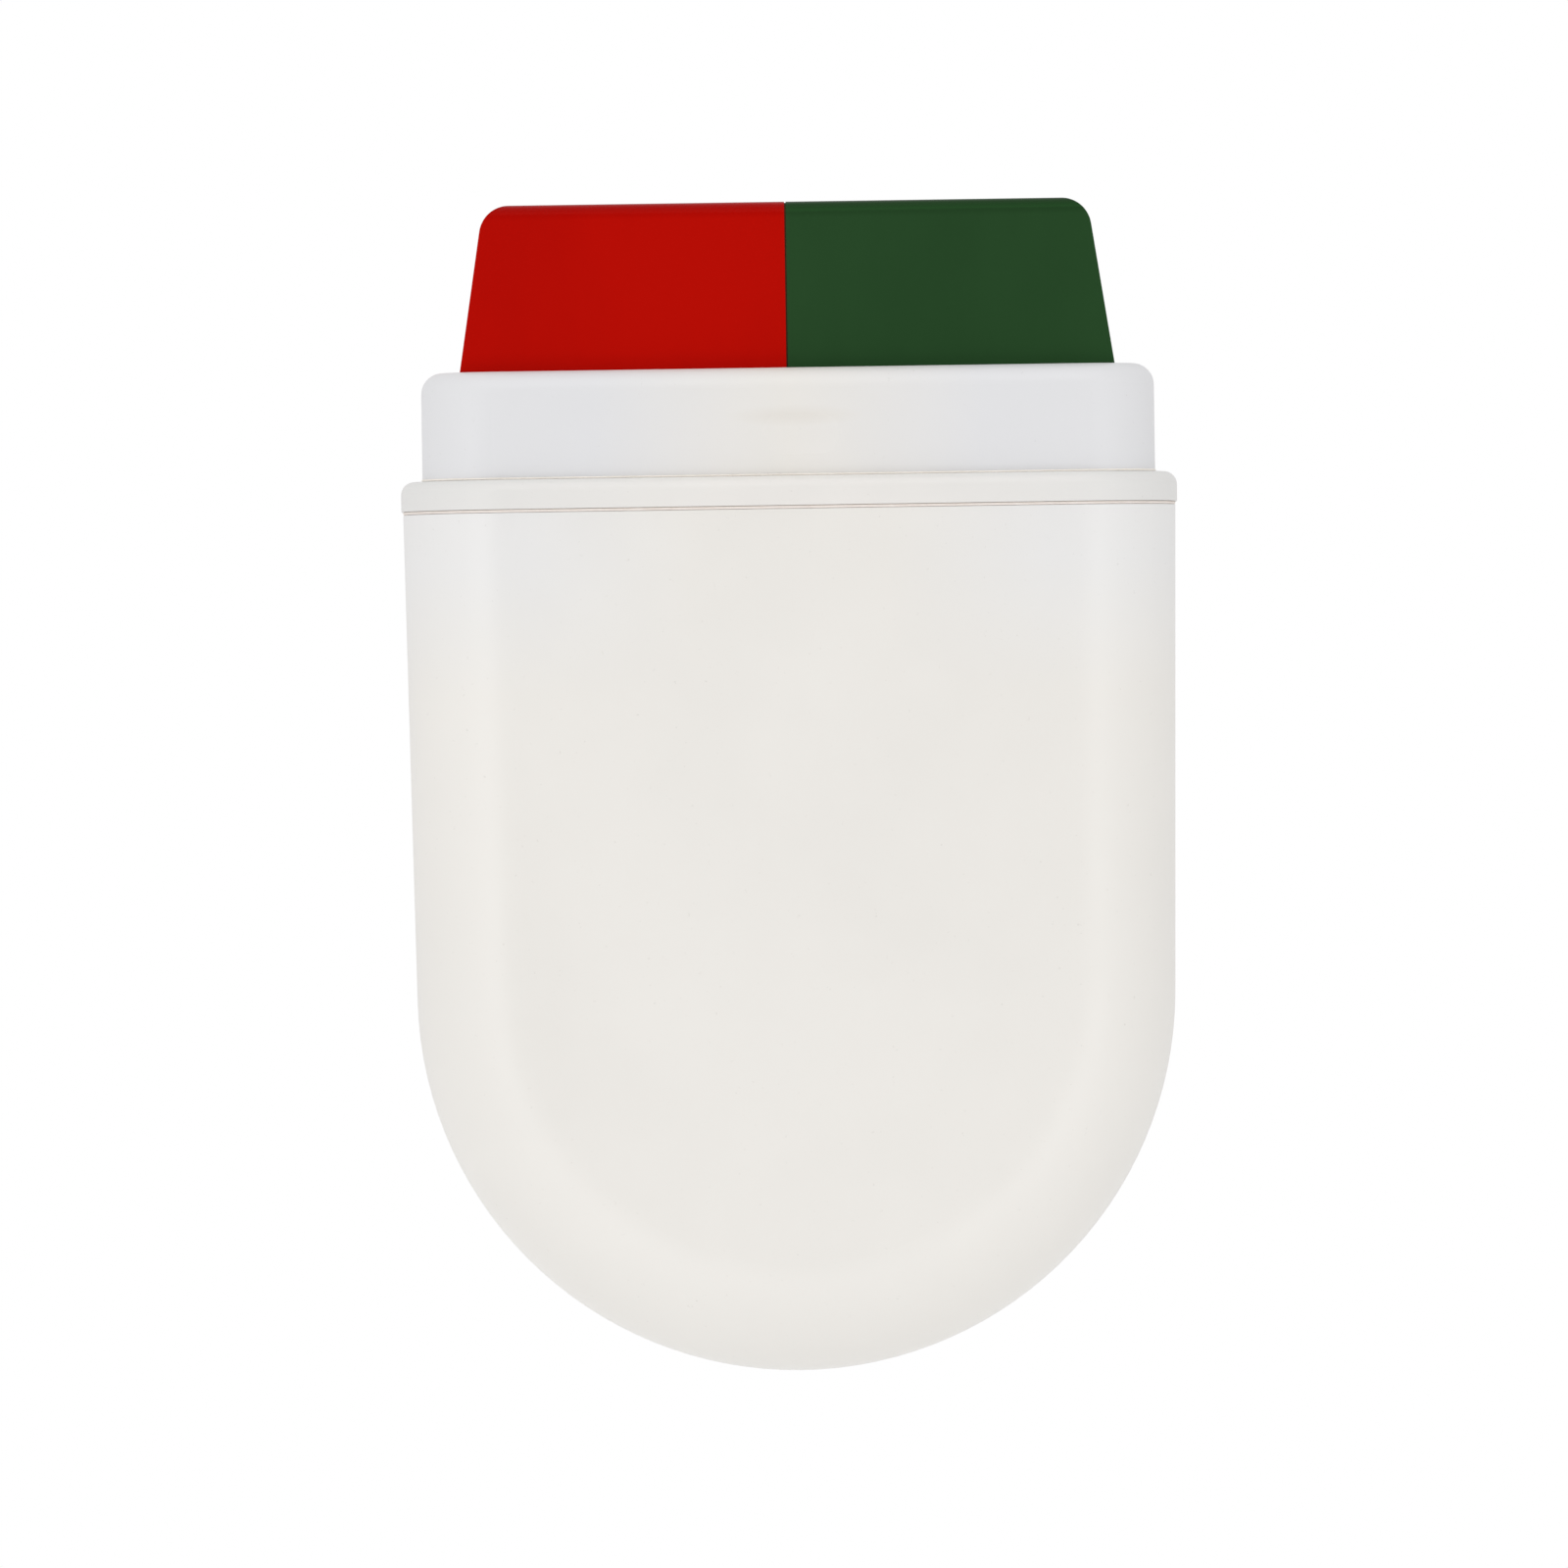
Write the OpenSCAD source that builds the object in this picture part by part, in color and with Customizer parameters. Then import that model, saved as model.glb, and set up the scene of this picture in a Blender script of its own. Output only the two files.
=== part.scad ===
// Two-aspect pedestrian signal: a D-shaped housing on a swivel bracket, with a
// red and green lamp head on top. Millimetres. The origin is the middle of the
// bracket's bolt pattern, on the face that meets the post. +Z is up, the front
// faces -Y and +X is to the right of someone looking at the front.

/* [Housing] */
// Width of the housing just below the rim
body_top_w = 239.4; // [236:0.2:240]
// Width of the housing across its round lower end
body_low_w = 235; // [232:0.5:236]
// Height of the housing, lowest point to rim
body_h = 267; // [262:1:272]
// Depth of the housing, front face to back face
body_d = 110; // [108:1:114]
// Radius that rounds the front edge
front_round = 33; // [26:1:36]
// Wall thickness of the mouldings
wall = 3; // [2.5:0.1:3.2]
// Thickness of the back plate
plate_t = 4; // [3.5:0.1:4.5]
// Distance of the lowest point below the bracket's middle
drop = 150; // [146:1:154]

/* [Rim and neck] */
// Width of the rim
rim_w = 240.6; // [240:0.1:242]
// Height of the rim and the seal under it
rim_h = 10; // [9:0.5:11]
// Width of the neck
neck_w = 227; // [226:0.5:230]
// Height of the neck
neck_h = 33.5; // [33:0.5:36]
// Radius of the neck's upright front corners
neck_round = 22; // [16:1:26]
// Radius of the neck's top edge
neck_edge = 6.5; // [4:0.5:8]

/* [Lenses] */
// Width of the pair of lenses where they leave the neck
lens_base_w = 202.6; // [200:0.2:204]
// Width of the pair of lenses at the top, before rounding
lens_top_w = 187; // [184:0.5:196]
// Height of the lenses above the neck
lens_h = 51.7; // [48:0.1:56]
// Depth of the lenses where they leave the neck
lens_base_d = 70; // [68:1:72]
// Depth of the lenses at the top, before rounding
lens_top_d = 57; // [54:1:64]
// Radius of the lenses' top corners
lens_corner = 9.5; // [6:0.5:12]
// Radius of the lenses' front and back top edges
lens_edge = 4; // [3.5:0.5:9]
// LEDs across one board
led_columns = 6; // [4:1:7]
// LEDs up one board
led_rows = 4; // [3:1:5]

/* [Bracket] */
// Distance from the post face to the back of the housing
standoff = 80; // [78:1:90]
// Bolt spacing across
bolt_x = 60; // [60:1:66]
// Bolt spacing up
bolt_z = 90; // [86:1:94]
// Radius of the bolt holes
bolt_hole_r = 4.5; // [4.2:0.1:5]
// Radius of the swivel bolt
swivel_r = 6; // [5:0.5:7]

/* [Fits] */
// Radial clearance of pins and shafts that turn
running = 0.05; // [0.03:0.01:0.1]
// Gap between a moving moulding and its neighbour
gap = 0.5; // [0.4:0.1:0.6]

/* [Hidden] */
$fn = 64;
low_r = body_low_w / 2;
arc_z = low_r - drop;
rim_z = body_h - drop;
rise = rim_z - arc_z;
taper = atan((body_top_w / 2 - low_r) / rise);
back = standoff;
front = standoff + body_d;
flange = back + plate_t;
cover_back = flange + gap;
seal_t = 0.8;
collar_z = rim_z + seal_t;
neck_z = rim_z + rim_h;
gasket_t = 0.6;
neck_base = neck_z + 0.1 + gasket_t;
hanger_x = 80;
lens_z = neck_z + neck_h;
lens_top = lens_z + lens_h;

// Neck and lens depths, measured from the post face towards the front
neck_back = back + 10;
neck_back_round = 14;
neck_front = front - 6;
lens_mid = (neck_back + neck_front) / 2;
lens_wall = 3;
lens_flange_z = lens_z - wall - 3.6;
split = 0.25;

// Cover hinge: an upright axis just behind the back plate's left edge
hinge_x = -114.6;
hinge_d = back - 4;
hinge_r = 3;
hinge_pin_r = 1.5;
hinge_h = 30;
hinge_low = [-20, 80];
leaf_x = -112.8;
leaf_t = 1.6;

// Lip and seal of the back plate, as distances in from its outline
lip_out = 10;
lip_in = 12.5;
lip_h = 12;
lip_seal_out = 8.2;

// Cover lock: its barrel lies across the right-hand wall
lock_d = 106;
lock_z = 40;
lock_r = 8;
lock_head_r = 10;
lock_head_x = 116.9;
cam_x = 104;
cam_t = 3;
cam_r = 17;
keeper_ring = 12;
keeper_pin_r = 2;

// Head hinge, across the back of the rim
head_d = back + 5;
head_z = neck_z + 4;
head_r = 3.6;
head_pin_r = 2;
head_hinge_x = 60;

// Head lock: an upright spindle through the rim, behind the neck's front wall
spin_d = 168;
spin_r = 4;

// Parts inside the housing
chassis_d = 98;
chassis_t = 2;
board_d = 106.4;
sounder_z = -104;
gland_x = 55;
gland_z = -72;
rail_z = -37;
rail_x = [-66, 60];
post_d = 127;

// Swivel
swivel_d = 42;
knuckle_h = 40;
ear_t = 11.4;
washer_t = 0.5;

// ---- shapes that repeat ----

// A box between depths d0 and d1
module block(x0, x1, d0, d1, z0, z1) {
    translate([x0, -d1, z0]) cube([x1 - x0, d1 - d0, z1 - z0]);
}

// A round bar that runs towards the front, across, or up
module rod_y(r, x, z, d0, d1) {
    translate([x, -d0, z]) rotate([90, 0, 0]) cylinder(r = r, h = d1 - d0);
}
module rod_x(r, d, z, x0, x1) {
    translate([x0, -d, z]) rotate([0, 90, 0]) cylinder(r = r, h = x1 - x0);
}
module rod_z(r, x, d, z0, z1) {
    translate([x, -d, z0]) cylinder(r = r, h = z1 - z0);
}

// A flat shape drawn across X and Z, thickened from depth d0 to d1
module upright(d0, d1) {
    translate([0, -d0, 0]) rotate([90, 0, 0]) linear_extrude(height = d1 - d0) children();
}

// A flat shape drawn across Y and Z, thickened from x0 to x1
module sideways(x0, x1) {
    translate([x0, 0, 0]) rotate([90, 0, 90]) linear_extrude(height = x1 - x0) children();
}

// A flat rectangle with round corners
module round_rect(half_x, half_z, r) {
    for (x = [-1, 1], z = [-1, 1]) translate([x * (half_x - r), z * (half_z - r)]) circle(r);
    square([2 * half_x, 2 * (half_z - r)], center = true);
    square([2 * (half_x - r), 2 * half_z], center = true);
}

module mirrored() {
    children();
    mirror([1, 0, 0]) children();
}

// The housing's outline from the front, moved inwards by inset, to a height of top
module d_outline(inset, top = rise) {
    r = low_r - inset;
    top_x = r / cos(taper) + top * tan(taper);
    translate([0, arc_z]) {
        circle(r);
        polygon([[r * cos(taper), -r * sin(taper)], [top_x, top],
            [-top_x, top], [-r * cos(taper), -r * sin(taper)]]);
    }
}

// The housing's outline made solid, with its front edge rounded
module d_solid(inset, edge, d0, d1) {
    r = low_r - inset;
    reach = rise + 6;
    upright(d0, d1 - edge) d_outline(inset, reach);
    upright(d0, d1) d_outline(inset + edge, reach);
    translate([0, edge - d1, arc_z]) {
        rotate([90, 0, 0]) rotate([0, 0, 180 + taper]) rotate_extrude(angle = 180 - 2 * taper)
            translate([r - edge, 0]) circle(edge);
        mirrored() rotate([0, taper, 0]) translate([r - edge, 0, 0]) cylinder(r = edge, h = reach);
    }
}

// A rounded rectangle from above, between depths d0 and d1
module plan(half, d0, d1, r0, r1) {
    for (side = [-1, 1]) {
        translate([side * (half - r0), -(d0 + r0)]) circle(r0);
        translate([side * (half - r1), -(d1 - r1)]) circle(r1);
    }
    translate([-half, -(d1 - r1)]) square([2 * half, d1 - r1 - d0 - r0]);
    translate([-(half - r0), -(d0 + r0 + 1)]) square([2 * (half - r0), r0 + 1]);
    translate([-(half - r1), -d1]) square([2 * (half - r1), r1 + 1]);
}

// That rectangle as a plate of height h with its top edge rounded
module soft_plate(half, d0, d1, r0, r1, h, edge) {
    linear_extrude(height = h - edge) plan(half, d0, d1, r0, r1);
    linear_extrude(height = h) plan(half - edge, d0 + edge, d1 - edge, r0 - edge, r1 - edge);
    translate([0, 0, h - edge]) {
        rod_x(edge, d0 + edge, 0, -(half - r0), half - r0);
        rod_x(edge, d1 - edge, 0, -(half - r1), half - r1);
        mirrored() {
            translate([half - edge, -(d1 - r1), 0]) rotate([-90, 0, 0])
                cylinder(r = edge, h = d1 - r1 - d0 - r0);
            translate([half - r0, -(d0 + r0), 0]) rotate_extrude(angle = 90)
                translate([r0 - edge, 0]) circle(edge);
            translate([half - r1, -(d1 - r1), 0]) rotate([0, 0, -90]) rotate_extrude(angle = 90)
                translate([r1 - edge, 0]) circle(edge);
        }
    }
}

// A trapezium with rounded top corners, moved inwards by inset, on a straight foot
module taper_section(base_w, top_w, corner_r, inset, foot) {
    lean = atan((base_w - top_w) / 2 / lens_h);
    r = corner_r - inset;
    shift = inset / cos(lean);
    half = base_w / 2 - shift;
    top_z = lens_top - inset;
    corner = top_w / 2 - shift + inset * tan(lean) + r * tan(lean) - r / cos(lean);
    edge_x = corner + r * cos(lean);
    edge_z = top_z - r + r * sin(lean);
    polygon([[half, lens_z - foot], [half, lens_z], [edge_x, edge_z], [corner, top_z],
        [-corner, top_z], [-edge_x, edge_z], [-half, lens_z], [-half, lens_z - foot]]);
    for (side = [-1, 1]) translate([side * corner, top_z - r]) circle(r);
}

// Both lenses as one block
module lens_block(inset, foot) {
    intersection() {
        upright(lens_mid - lens_base_d, lens_mid + lens_base_d)
            taper_section(lens_base_w, lens_top_w, lens_corner, inset, foot);
        translate([0, -lens_mid, 0]) sideways(-lens_base_w, lens_base_w)
            taper_section(lens_base_d, lens_top_d, lens_edge, inset, foot);
    }
}

// The ring between two rounded rectangles
module plan_ring(half, d0, d1, r0, r1, width, h) {
    linear_extrude(height = h) difference() {
        plan(half, d0, d1, r0, r1);
        plan(half - width, d0 + width, d1 - width, max(r0 - width, 0.5), r1 - width);
    }
}

// A flat rectangular ring around the lenses
module lens_ring(half, half_d, hole, hole_d, z0, z1) {
    difference() {
        block(-half, half, lens_mid - half_d, lens_mid + half_d, z0, z1);
        block(-hole, hole, lens_mid - hole_d, lens_mid + hole_d, z0 - 1, z1 + 1);
    }
}

// Points along a path, each corner turned into a short curve
function lerp(a, b, t) = a + (b - a) * t;
function curve(a, b, c, t) = lerp(lerp(a, b, t), lerp(b, c, t), t);
function rounded_path(p, reach, steps) = [
    p[0],
    for (i = [1:len(p) - 2])
        let (
            u = (p[i - 1] - p[i]) / norm(p[i - 1] - p[i]),
            v = (p[i + 1] - p[i]) / norm(p[i + 1] - p[i])
        )
        for (k = [0:steps]) curve(p[i] + u * reach, p[i], p[i] + v * reach, k / steps),
    p[len(p) - 1]
];
function unit(v) = v / norm(v);
function along(p, i) = unit(p[min(i + 1, len(p) - 1)] - p[max(i - 1, 0)]);

// A round wire swept along a path
module wire(path, r, sides = 8) {
    p = rounded_path(path, 5, 4);
    n = len(p);
    points = [for (i = [0:n - 1])
        let (
            t = along(p, i),
            a = unit(cross(t, [0.31, 0.87, 0.38])),
            b = cross(t, a)
        )
        for (k = [0:sides - 1]) p[i] + r * (a * cos(k * 360 / sides) + b * sin(k * 360 / sides))];
    faces = concat(
        [[for (k = [0:sides - 1]) k]],
        [for (i = [0:n - 2]) for (k = [0:sides - 1])
            [i * sides + k, (i + 1) * sides + k, (i + 1) * sides + (k + 1) % sides, i * sides + (k + 1) % sides]],
        [[for (k = [sides - 1:-1:0]) (n - 1) * sides + k]]
    );
    polyhedron(points, faces);
}

lug_holes = [for (x = [-34, 34], z = [-24, 24]) [x, z]];
collar_holes = [for (x = [-68, -30, 30, 68]) [x, 98]];
standoff_holes = [for (x = [-74, 74], z = [-52, 84]) [x, z]];
spacer_holes = [for (x = [-64, 64], z = [50, 82]) [x, z]];
clamp_holes = concat([for (x = [-106.4, 106.4], d = [-22, 22]) [x, d]],
    [for (x = [-70, 0, 70], d = [-39.6, 39.6]) [x, d]]);

// ---- bracket, fixed to the post ----

module ear_plan() {
    translate([0, -swivel_d]) circle(16);
    translate([-16, -swivel_d]) square([32, swivel_d - 6]);
}

// Stiffening rib from the plate to the outer face of an ear
module bracket_rib(ear_top) {
    sideways(-3.5, 3.5) polygon([[-7, ear_top - 1], [-25, ear_top - 1], [-25, ear_top + 2], [-12, 52], [-7, 52]]);
}

module wall_bracket() color("gainsboro") {
    ear_z = knuckle_h / 2 + washer_t + 0.1;
    difference() {
        union() {
            difference() {
                upright(0, 8) round_rect(45, 62, 9);
                for (x = [-1, 1], z = [-1, 1]) rod_y(bolt_hole_r, x * bolt_x / 2, z * bolt_z / 2, -1, 9);
            }
            for (z = [ear_z, -ear_z - ear_t]) translate([0, 0, z])
                linear_extrude(height = ear_t) ear_plan();
            bracket_rib(ear_z + ear_t);
            mirror([0, 0, 1]) bracket_rib(ear_z + ear_t);
        }
        rod_z(swivel_r + running, 0, swivel_d, -70, 70);
    }
}

module swivel_bolt() color("silver") {
    ear_top = knuckle_h / 2 + washer_t + 0.1 + ear_t;
    rod_z(swivel_r, 0, swivel_d, -ear_top - 15, ear_top);
    rod_z(13, 0, swivel_d, ear_top, ear_top + 2);
    translate([0, -swivel_d, ear_top + 2]) cylinder(r = 10.9, h = 7.5, $fn = 6);
}

module swivel_nut() color("silver") {
    ear_top = knuckle_h / 2 + washer_t + 0.1 + ear_t;
    difference() {
        union() {
            rod_z(13, 0, swivel_d, -ear_top - 2, -ear_top);
            translate([0, -swivel_d, -ear_top - 12]) cylinder(r = 10.9, h = 10, $fn = 6);
        }
        rod_z(swivel_r, 0, swivel_d, -ear_top - 20, 0);
    }
}

module friction_washers() color("dimgray") {
    for (z = [knuckle_h / 2 + 0.05, -knuckle_h / 2 - 0.05 - washer_t]) difference() {
        rod_z(15, 0, swivel_d, z, z + washer_t);
        rod_z(swivel_r + running, 0, swivel_d, z - 1, z + washer_t + 1);
    }
}

// ---- housing ----

module swivel_lug() color("gainsboro") difference() {
    union() {
        rod_z(16, 0, swivel_d, -knuckle_h / 2, knuckle_h / 2);
        block(-11, 11, swivel_d, back - 4, -16, 16);
        upright(back - 8, back) round_rect(45, 34, 7);
        translate([0, 0, -4]) linear_extrude(height = 8)
            polygon([[-38, -(back - 7)], [-10, -56], [10, -56], [38, -(back - 7)]]);
    }
    rod_z(swivel_r + running, 0, swivel_d, -30, 30);
    for (h = lug_holes) rod_y(3.3, h[0], h[1], back - 9, back + 1);
}

module lug_screws() color("silver") for (h = lug_holes) {
    rod_y(3, h[0], h[1], back - 8, flange + 8);
    rod_y(5, h[0], h[1], back - 14, back - 8);
    translate([h[0], -flange, h[1]]) rotate([90, 0, 0]) difference() {
        cylinder(r = 5.8, h = 5, $fn = 6);
        translate([0, 0, -1]) cylinder(r = 3, h = 7);
    }
}

// What the cover's left edge sweeps as it swings behind the back plate
module hinge_relief() {
    difference() {
        block(-130, hinge_x, back - 1, flange + 1, -drop - 1, rim_z + 1);
        rod_z(8.1, hinge_x, hinge_d, -drop - 2, rim_z + 2);
    }
    for (z = hinge_low) block(-130, hinge_x + 4.2, back - 1, flange + 8,
        z + hinge_h / 3 - 0.5, z + hinge_h * 2 / 3 + 0.5);
}

module back_plate() color("white") difference() {
    union() {
        upright(back, flange) d_outline(0);
        difference() {
            upright(flange - 1, flange + lip_h) difference() {
                d_outline(lip_out);
                d_outline(lip_in);
            }
            block(-130, 130, flange, front, 76, rim_z + 1);
            block(90, 130, flange, front, lock_z - cam_r - 3, lock_z + cam_r + 3);
        }
    }
    hinge_relief();
    for (h = lug_holes) rod_y(3.3, h[0], h[1], back - 1, flange + 1);
    for (h = collar_holes) rod_y(2.2, h[0], h[1], back - 1, flange + 1);
    rod_y(10.1, gland_x, gland_z, back - 1, flange + 1);
    rod_y(6.1, -gland_x, gland_z, back - 1, flange + 1);
    for (i = [-2:2]) {
        half = 20 * cos(i * 24);
        block(i * 8 - 1.5, i * 8 + 1.5, back - 1, flange + 1, sounder_z - half, sounder_z + half);
    }
}

module base_seal() color("dimgray") difference() {
    upright(flange, flange + 6) difference() {
        d_outline(lip_seal_out);
        d_outline(lip_out);
    }
    block(-130, 130, flange - 1, front, 76, rim_z + 1);
}

module gusset() {
    sideways(-2, 2) polygon([[-flange - 3, collar_z + 1], [-150, collar_z + 1], [-150, collar_z - 5],
        [-flange - 3, collar_z - 30]]);
}

module rim_collar() color("white") difference() {
    union() {
        translate([0, 0, collar_z])
            soft_plate(rim_w / 2, back, front + 0.6, 9, front_round + 1, neck_z - collar_z, 4);
        block(-hanger_x, hanger_x, flange, flange + 4, 90.5, collar_z + 1);
        for (x = [-50, 50]) translate([x, 0, 0]) gusset();
        for (s = [-1, 1], x = [6, 11]) {
            block(s * head_hinge_x + (s > 0 ? x : -x - 5), s * head_hinge_x + (s > 0 ? x + 5 : -x),
                head_d - head_r, head_d + head_r, neck_z - 4, head_z);
            rod_x(head_r, head_d, head_z, s * head_hinge_x + (s > 0 ? x : -x - 5),
                s * head_hinge_x + (s > 0 ? x + 5 : -x));
        }
        for (s = [-1, 1], x = [-16, -11]) {
            block(s * head_hinge_x + (s > 0 ? x : -x - 5), s * head_hinge_x + (s > 0 ? x + 5 : -x),
                head_d - head_r, head_d + head_r, neck_z - 4, head_z);
            rod_x(head_r, head_d, head_z, s * head_hinge_x + (s > 0 ? x : -x - 5),
                s * head_hinge_x + (s > 0 ? x + 5 : -x));
        }
    }
    rod_x(head_pin_r + running, head_d, head_z, -90, 90);
    rod_z(spin_r + running, 0, spin_d, collar_z - 5, neck_z + 5);
    rod_z(7, 0, 110, collar_z - 5, neck_z + 5);
    for (h = collar_holes) rod_y(2.2, h[0], h[1], flange - 1, flange + 5);
}

module collar_seal() color("tan") difference() {
    translate([0, 0, rim_z]) plan_ring(rim_w / 2 - 1.4, back + 1, front - 0.8, 8, front_round - 0.4, 6, seal_t);
    block(-hanger_x - gap, hanger_x + gap, flange - gap, flange + 5, rim_z - 1, rim_z + 2);
}

module collar_screws() color("silver") for (h = collar_holes) {
    rod_y(2, h[0], h[1], back, flange + 6);
    rod_y(4, h[0], h[1], back - 2.6, back);
}

module base_hinge_leaves() color("silver") for (z = hinge_low) difference() {
    union() {
        rod_z(hinge_r, hinge_x, hinge_d, z, z + hinge_h);
        block(hinge_x, -90, back - 2, back, z, z + hinge_h);
    }
    rod_z(hinge_pin_r + running, hinge_x, hinge_d, z - 1, z + hinge_h + 1);
    block(hinge_x - 10, hinge_x + 4.2, hinge_d - 6, back + 1, z + hinge_h / 3 - 0.2,
        z + hinge_h * 2 / 3 + 0.2);
    for (s = [6, 24]) rod_y(1.8, -97, z + s, back - 5, back + 1);
}

module hinge_screws() color("silver") for (z = hinge_low, s = [6, 24]) {
    rod_y(1.8, -97, z + s, back - 2, back);
    rod_y(3.2, -97, z + s, back - 4, back - 2);
}

module cover_hinge_pins() color("silver") for (z = hinge_low) {
    rod_z(hinge_pin_r, hinge_x, hinge_d, z - 0.5, z + hinge_h + 0.5);
    rod_z(hinge_pin_r + 1, hinge_x, hinge_d, z + hinge_h, z + hinge_h + 1.5);
}

module lock_keeper() color("silver") {
    block(84, 100.5, flange, flange + 2, lock_z - 10, lock_z + 10);
    block(98.5, 100.5, flange, flange + 15, lock_z - 8, lock_z + 8);
    rod_x(keeper_pin_r, lock_d - keeper_ring, lock_z, 99, 108);
}

module cable_gland() color("dimgray") translate([gland_x, 0, gland_z]) rotate([90, 0, 0])
    difference() {
        union() {
            translate([0, 0, back]) cylinder(r = 10, h = plate_t + 7);
            translate([0, 0, back - 5]) cylinder(r = 13.8, h = 5, $fn = 6);
            translate([0, 0, back - 22]) cylinder(r = 11, h = 17);
            translate([0, 0, back - 25]) cylinder(r1 = 8.5, r2 = 11, h = 3);
        }
        translate([0, 0, back - 26]) cylinder(r = 5, h = 60);
    }

module gland_nut() color("dimgray") translate([gland_x, -flange, gland_z]) rotate([90, 0, 0])
    difference() {
        cylinder(r = 13.8, h = 5, $fn = 6);
        translate([0, 0, -1]) cylinder(r = 10, h = 7);
    }

module vent_plug() color("dimgray") {
    rod_y(6, -gland_x, gland_z, back, flange + 6);
    rod_y(9, -gland_x, gland_z, back - 3, back);
    rod_y(6.5, -gland_x, gland_z, back - 5, back - 3);
}

module sounder() color("black") translate([0, -flange, sounder_z]) rotate([90, 0, 0])
    rotate_extrude() polygon([[0, 8], [8, 6], [22, 1], [22, 0], [27, 0], [27, 3], [23, 3], [14, 15],
        [14, 17], [16, 17], [16, 27], [0, 27]]);

module standoffs() color("silver") for (h = standoff_holes)
    translate([h[0], -flange, h[1]]) rotate([90, 0, 0]) cylinder(r = 5, h = chassis_d - flange, $fn = 6);

module chassis_plate() color("lightsteelblue") difference() {
    block(-84, 84, chassis_d, chassis_d + chassis_t, -60, 92);
    for (h = standoff_holes) rod_y(2.6, h[0], h[1], chassis_d - 1, chassis_d + 3);
    rod_y(3.1, 78, -40, chassis_d - 1, chassis_d + 3);
}

module chassis_screws() color("silver") for (h = standoff_holes) {
    rod_y(2.5, h[0], h[1], chassis_d, chassis_d + chassis_t);
    rod_y(4.4, h[0], h[1], chassis_d + chassis_t, chassis_d + chassis_t + 2.8);
}

chassis_front = chassis_d + chassis_t;

module led_driver() color("silver") difference() {
    union() {
        block(-66, 52, chassis_front, chassis_front + 32, -6, 36);
        for (x = [-70, 52]) block(x, x + 4, chassis_front, chassis_front + 30, -5, 35);
        for (x = [-78, 56]) block(x, x + 8, chassis_front, chassis_front + 2, 2, 28);
    }
    for (x = [-75, 61]) rod_y(2.2, x, 15, chassis_front - 1, chassis_front + 3);
    for (x = [-58:8:44]) block(x, x + 3, chassis_front + 29, chassis_front + 33, -7, 37);
}

module control_board() color("darkgreen") difference() {
    block(-70, 70, board_d, board_d + 1.6, 44, 88);
    for (h = spacer_holes) rod_y(1.7, h[0], h[1], board_d - 1, board_d + 3);
}

module board_spacers() color("silver") for (h = spacer_holes) {
    rod_y(3, h[0], h[1], chassis_front, board_d);
    rod_y(1.6, h[0], h[1], board_d, board_d + 1.6);
    rod_y(2.9, h[0], h[1], board_d + 1.6, board_d + 3.4);
}

module board_parts() color("dimgray") {
    face = board_d + 1.6;
    for (i = [0:3]) block(-54 + i * 22, -38 + i * 22, face, face + 15, 69, 85);
    for (i = [0:2]) rod_y(5, -52 + i * 13, 54, face, face + 16);
    block(-6, 10, face, face + 2.4, 48, 62);
    for (i = [0:1]) block(18 + i * 12, 26 + i * 12, face, face + 1.8, 50, 61);
    block(42, 58, face, face + 9, 46, 58);
    block(44, 60, face, face + 10, 66, 74);
}

module din_rail() color("gainsboro") difference() {
    block(rail_x[0], rail_x[1], chassis_front, chassis_front + 7.5, rail_z - 17.5, rail_z + 17.5);
    block(-90, 90, chassis_front + 1, chassis_front + 8, rail_z - 12.5, rail_z + 12.5);
    for (s = [-1, 1]) block(-90, 90, chassis_front - 1, chassis_front + 6.5,
        s > 0 ? rail_z + 13.5 : rail_z - 18, s > 0 ? rail_z + 18 : rail_z - 13.5);
    for (x = [rail_x[0] + 8, rail_x[1] - 8]) rod_y(2.6, x, rail_z, chassis_front - 1, chassis_front + 2);
}

module terminal_block() color("slategray") for (i = [0:11]) translate([-50 + i * 7, 0, 0])
    difference() {
        union() {
            block(0, 6.8, chassis_front + 7.6, chassis_front + 26, rail_z - 21, rail_z + 21);
            block(0, 6.8, chassis_front + 25, chassis_front + 38, rail_z - 13, rail_z + 13);
        }
        for (s = [-1, 1]) {
            rod_y(1.9, 3.4, rail_z + s * 17, chassis_front + 20, chassis_front + 27);
            block(1.6, 5.2, chassis_front + 33, chassis_front + 39, rail_z + s * 8 - 2, rail_z + s * 8 + 2);
        }
    }

module earth_stud() color("goldenrod") {
    rod_y(3, 78, -40, chassis_d - 3, chassis_front + 16);
    for (d = [chassis_front + 1.2, chassis_front + 8]) translate([78, -d, -40]) rotate([90, 0, 0])
        difference() {
            cylinder(r = 5.7, h = 4.8, $fn = 6);
            translate([0, 0, -1]) cylinder(r = 3, h = 7);
        }
    difference() {
        rod_y(6, 78, -40, chassis_front, chassis_front + 1.2);
        rod_y(3, 78, -40, chassis_front - 1, chassis_front + 2);
    }
}

module mains_wires() color("saddlebrown") for (i = [0:2]) {
    across = [-46.6 + i * 7, -76 - (2 - i) * 3];
    depth = chassis_front + 16 + i * 4;
    wire([[across[0], -depth, rail_z + 21], [across[0], -depth, rail_z + 27], [across[1], -depth, rail_z + 27],
        [across[1], -depth, 8 + i * 6], [-70, -depth, 8 + i * 6]], 1.3);
}

module led_leads() color("firebrick") for (s = [-1, 1])
    wire([[52 + s * 3, -board_d - 11.6, 70 + s * 1.6], [52 + s * 3, -board_d - 20, 70 + s * 1.6],
        [52 + s * 3, -board_d - 20, 96 + s * 2], [s * 3, -110, 102 + s * 2], [s * 3, -110, 134],
        [s * 14, -128 + 14, 134], [s * 14, -126.8, 134]], 1.6);

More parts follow.
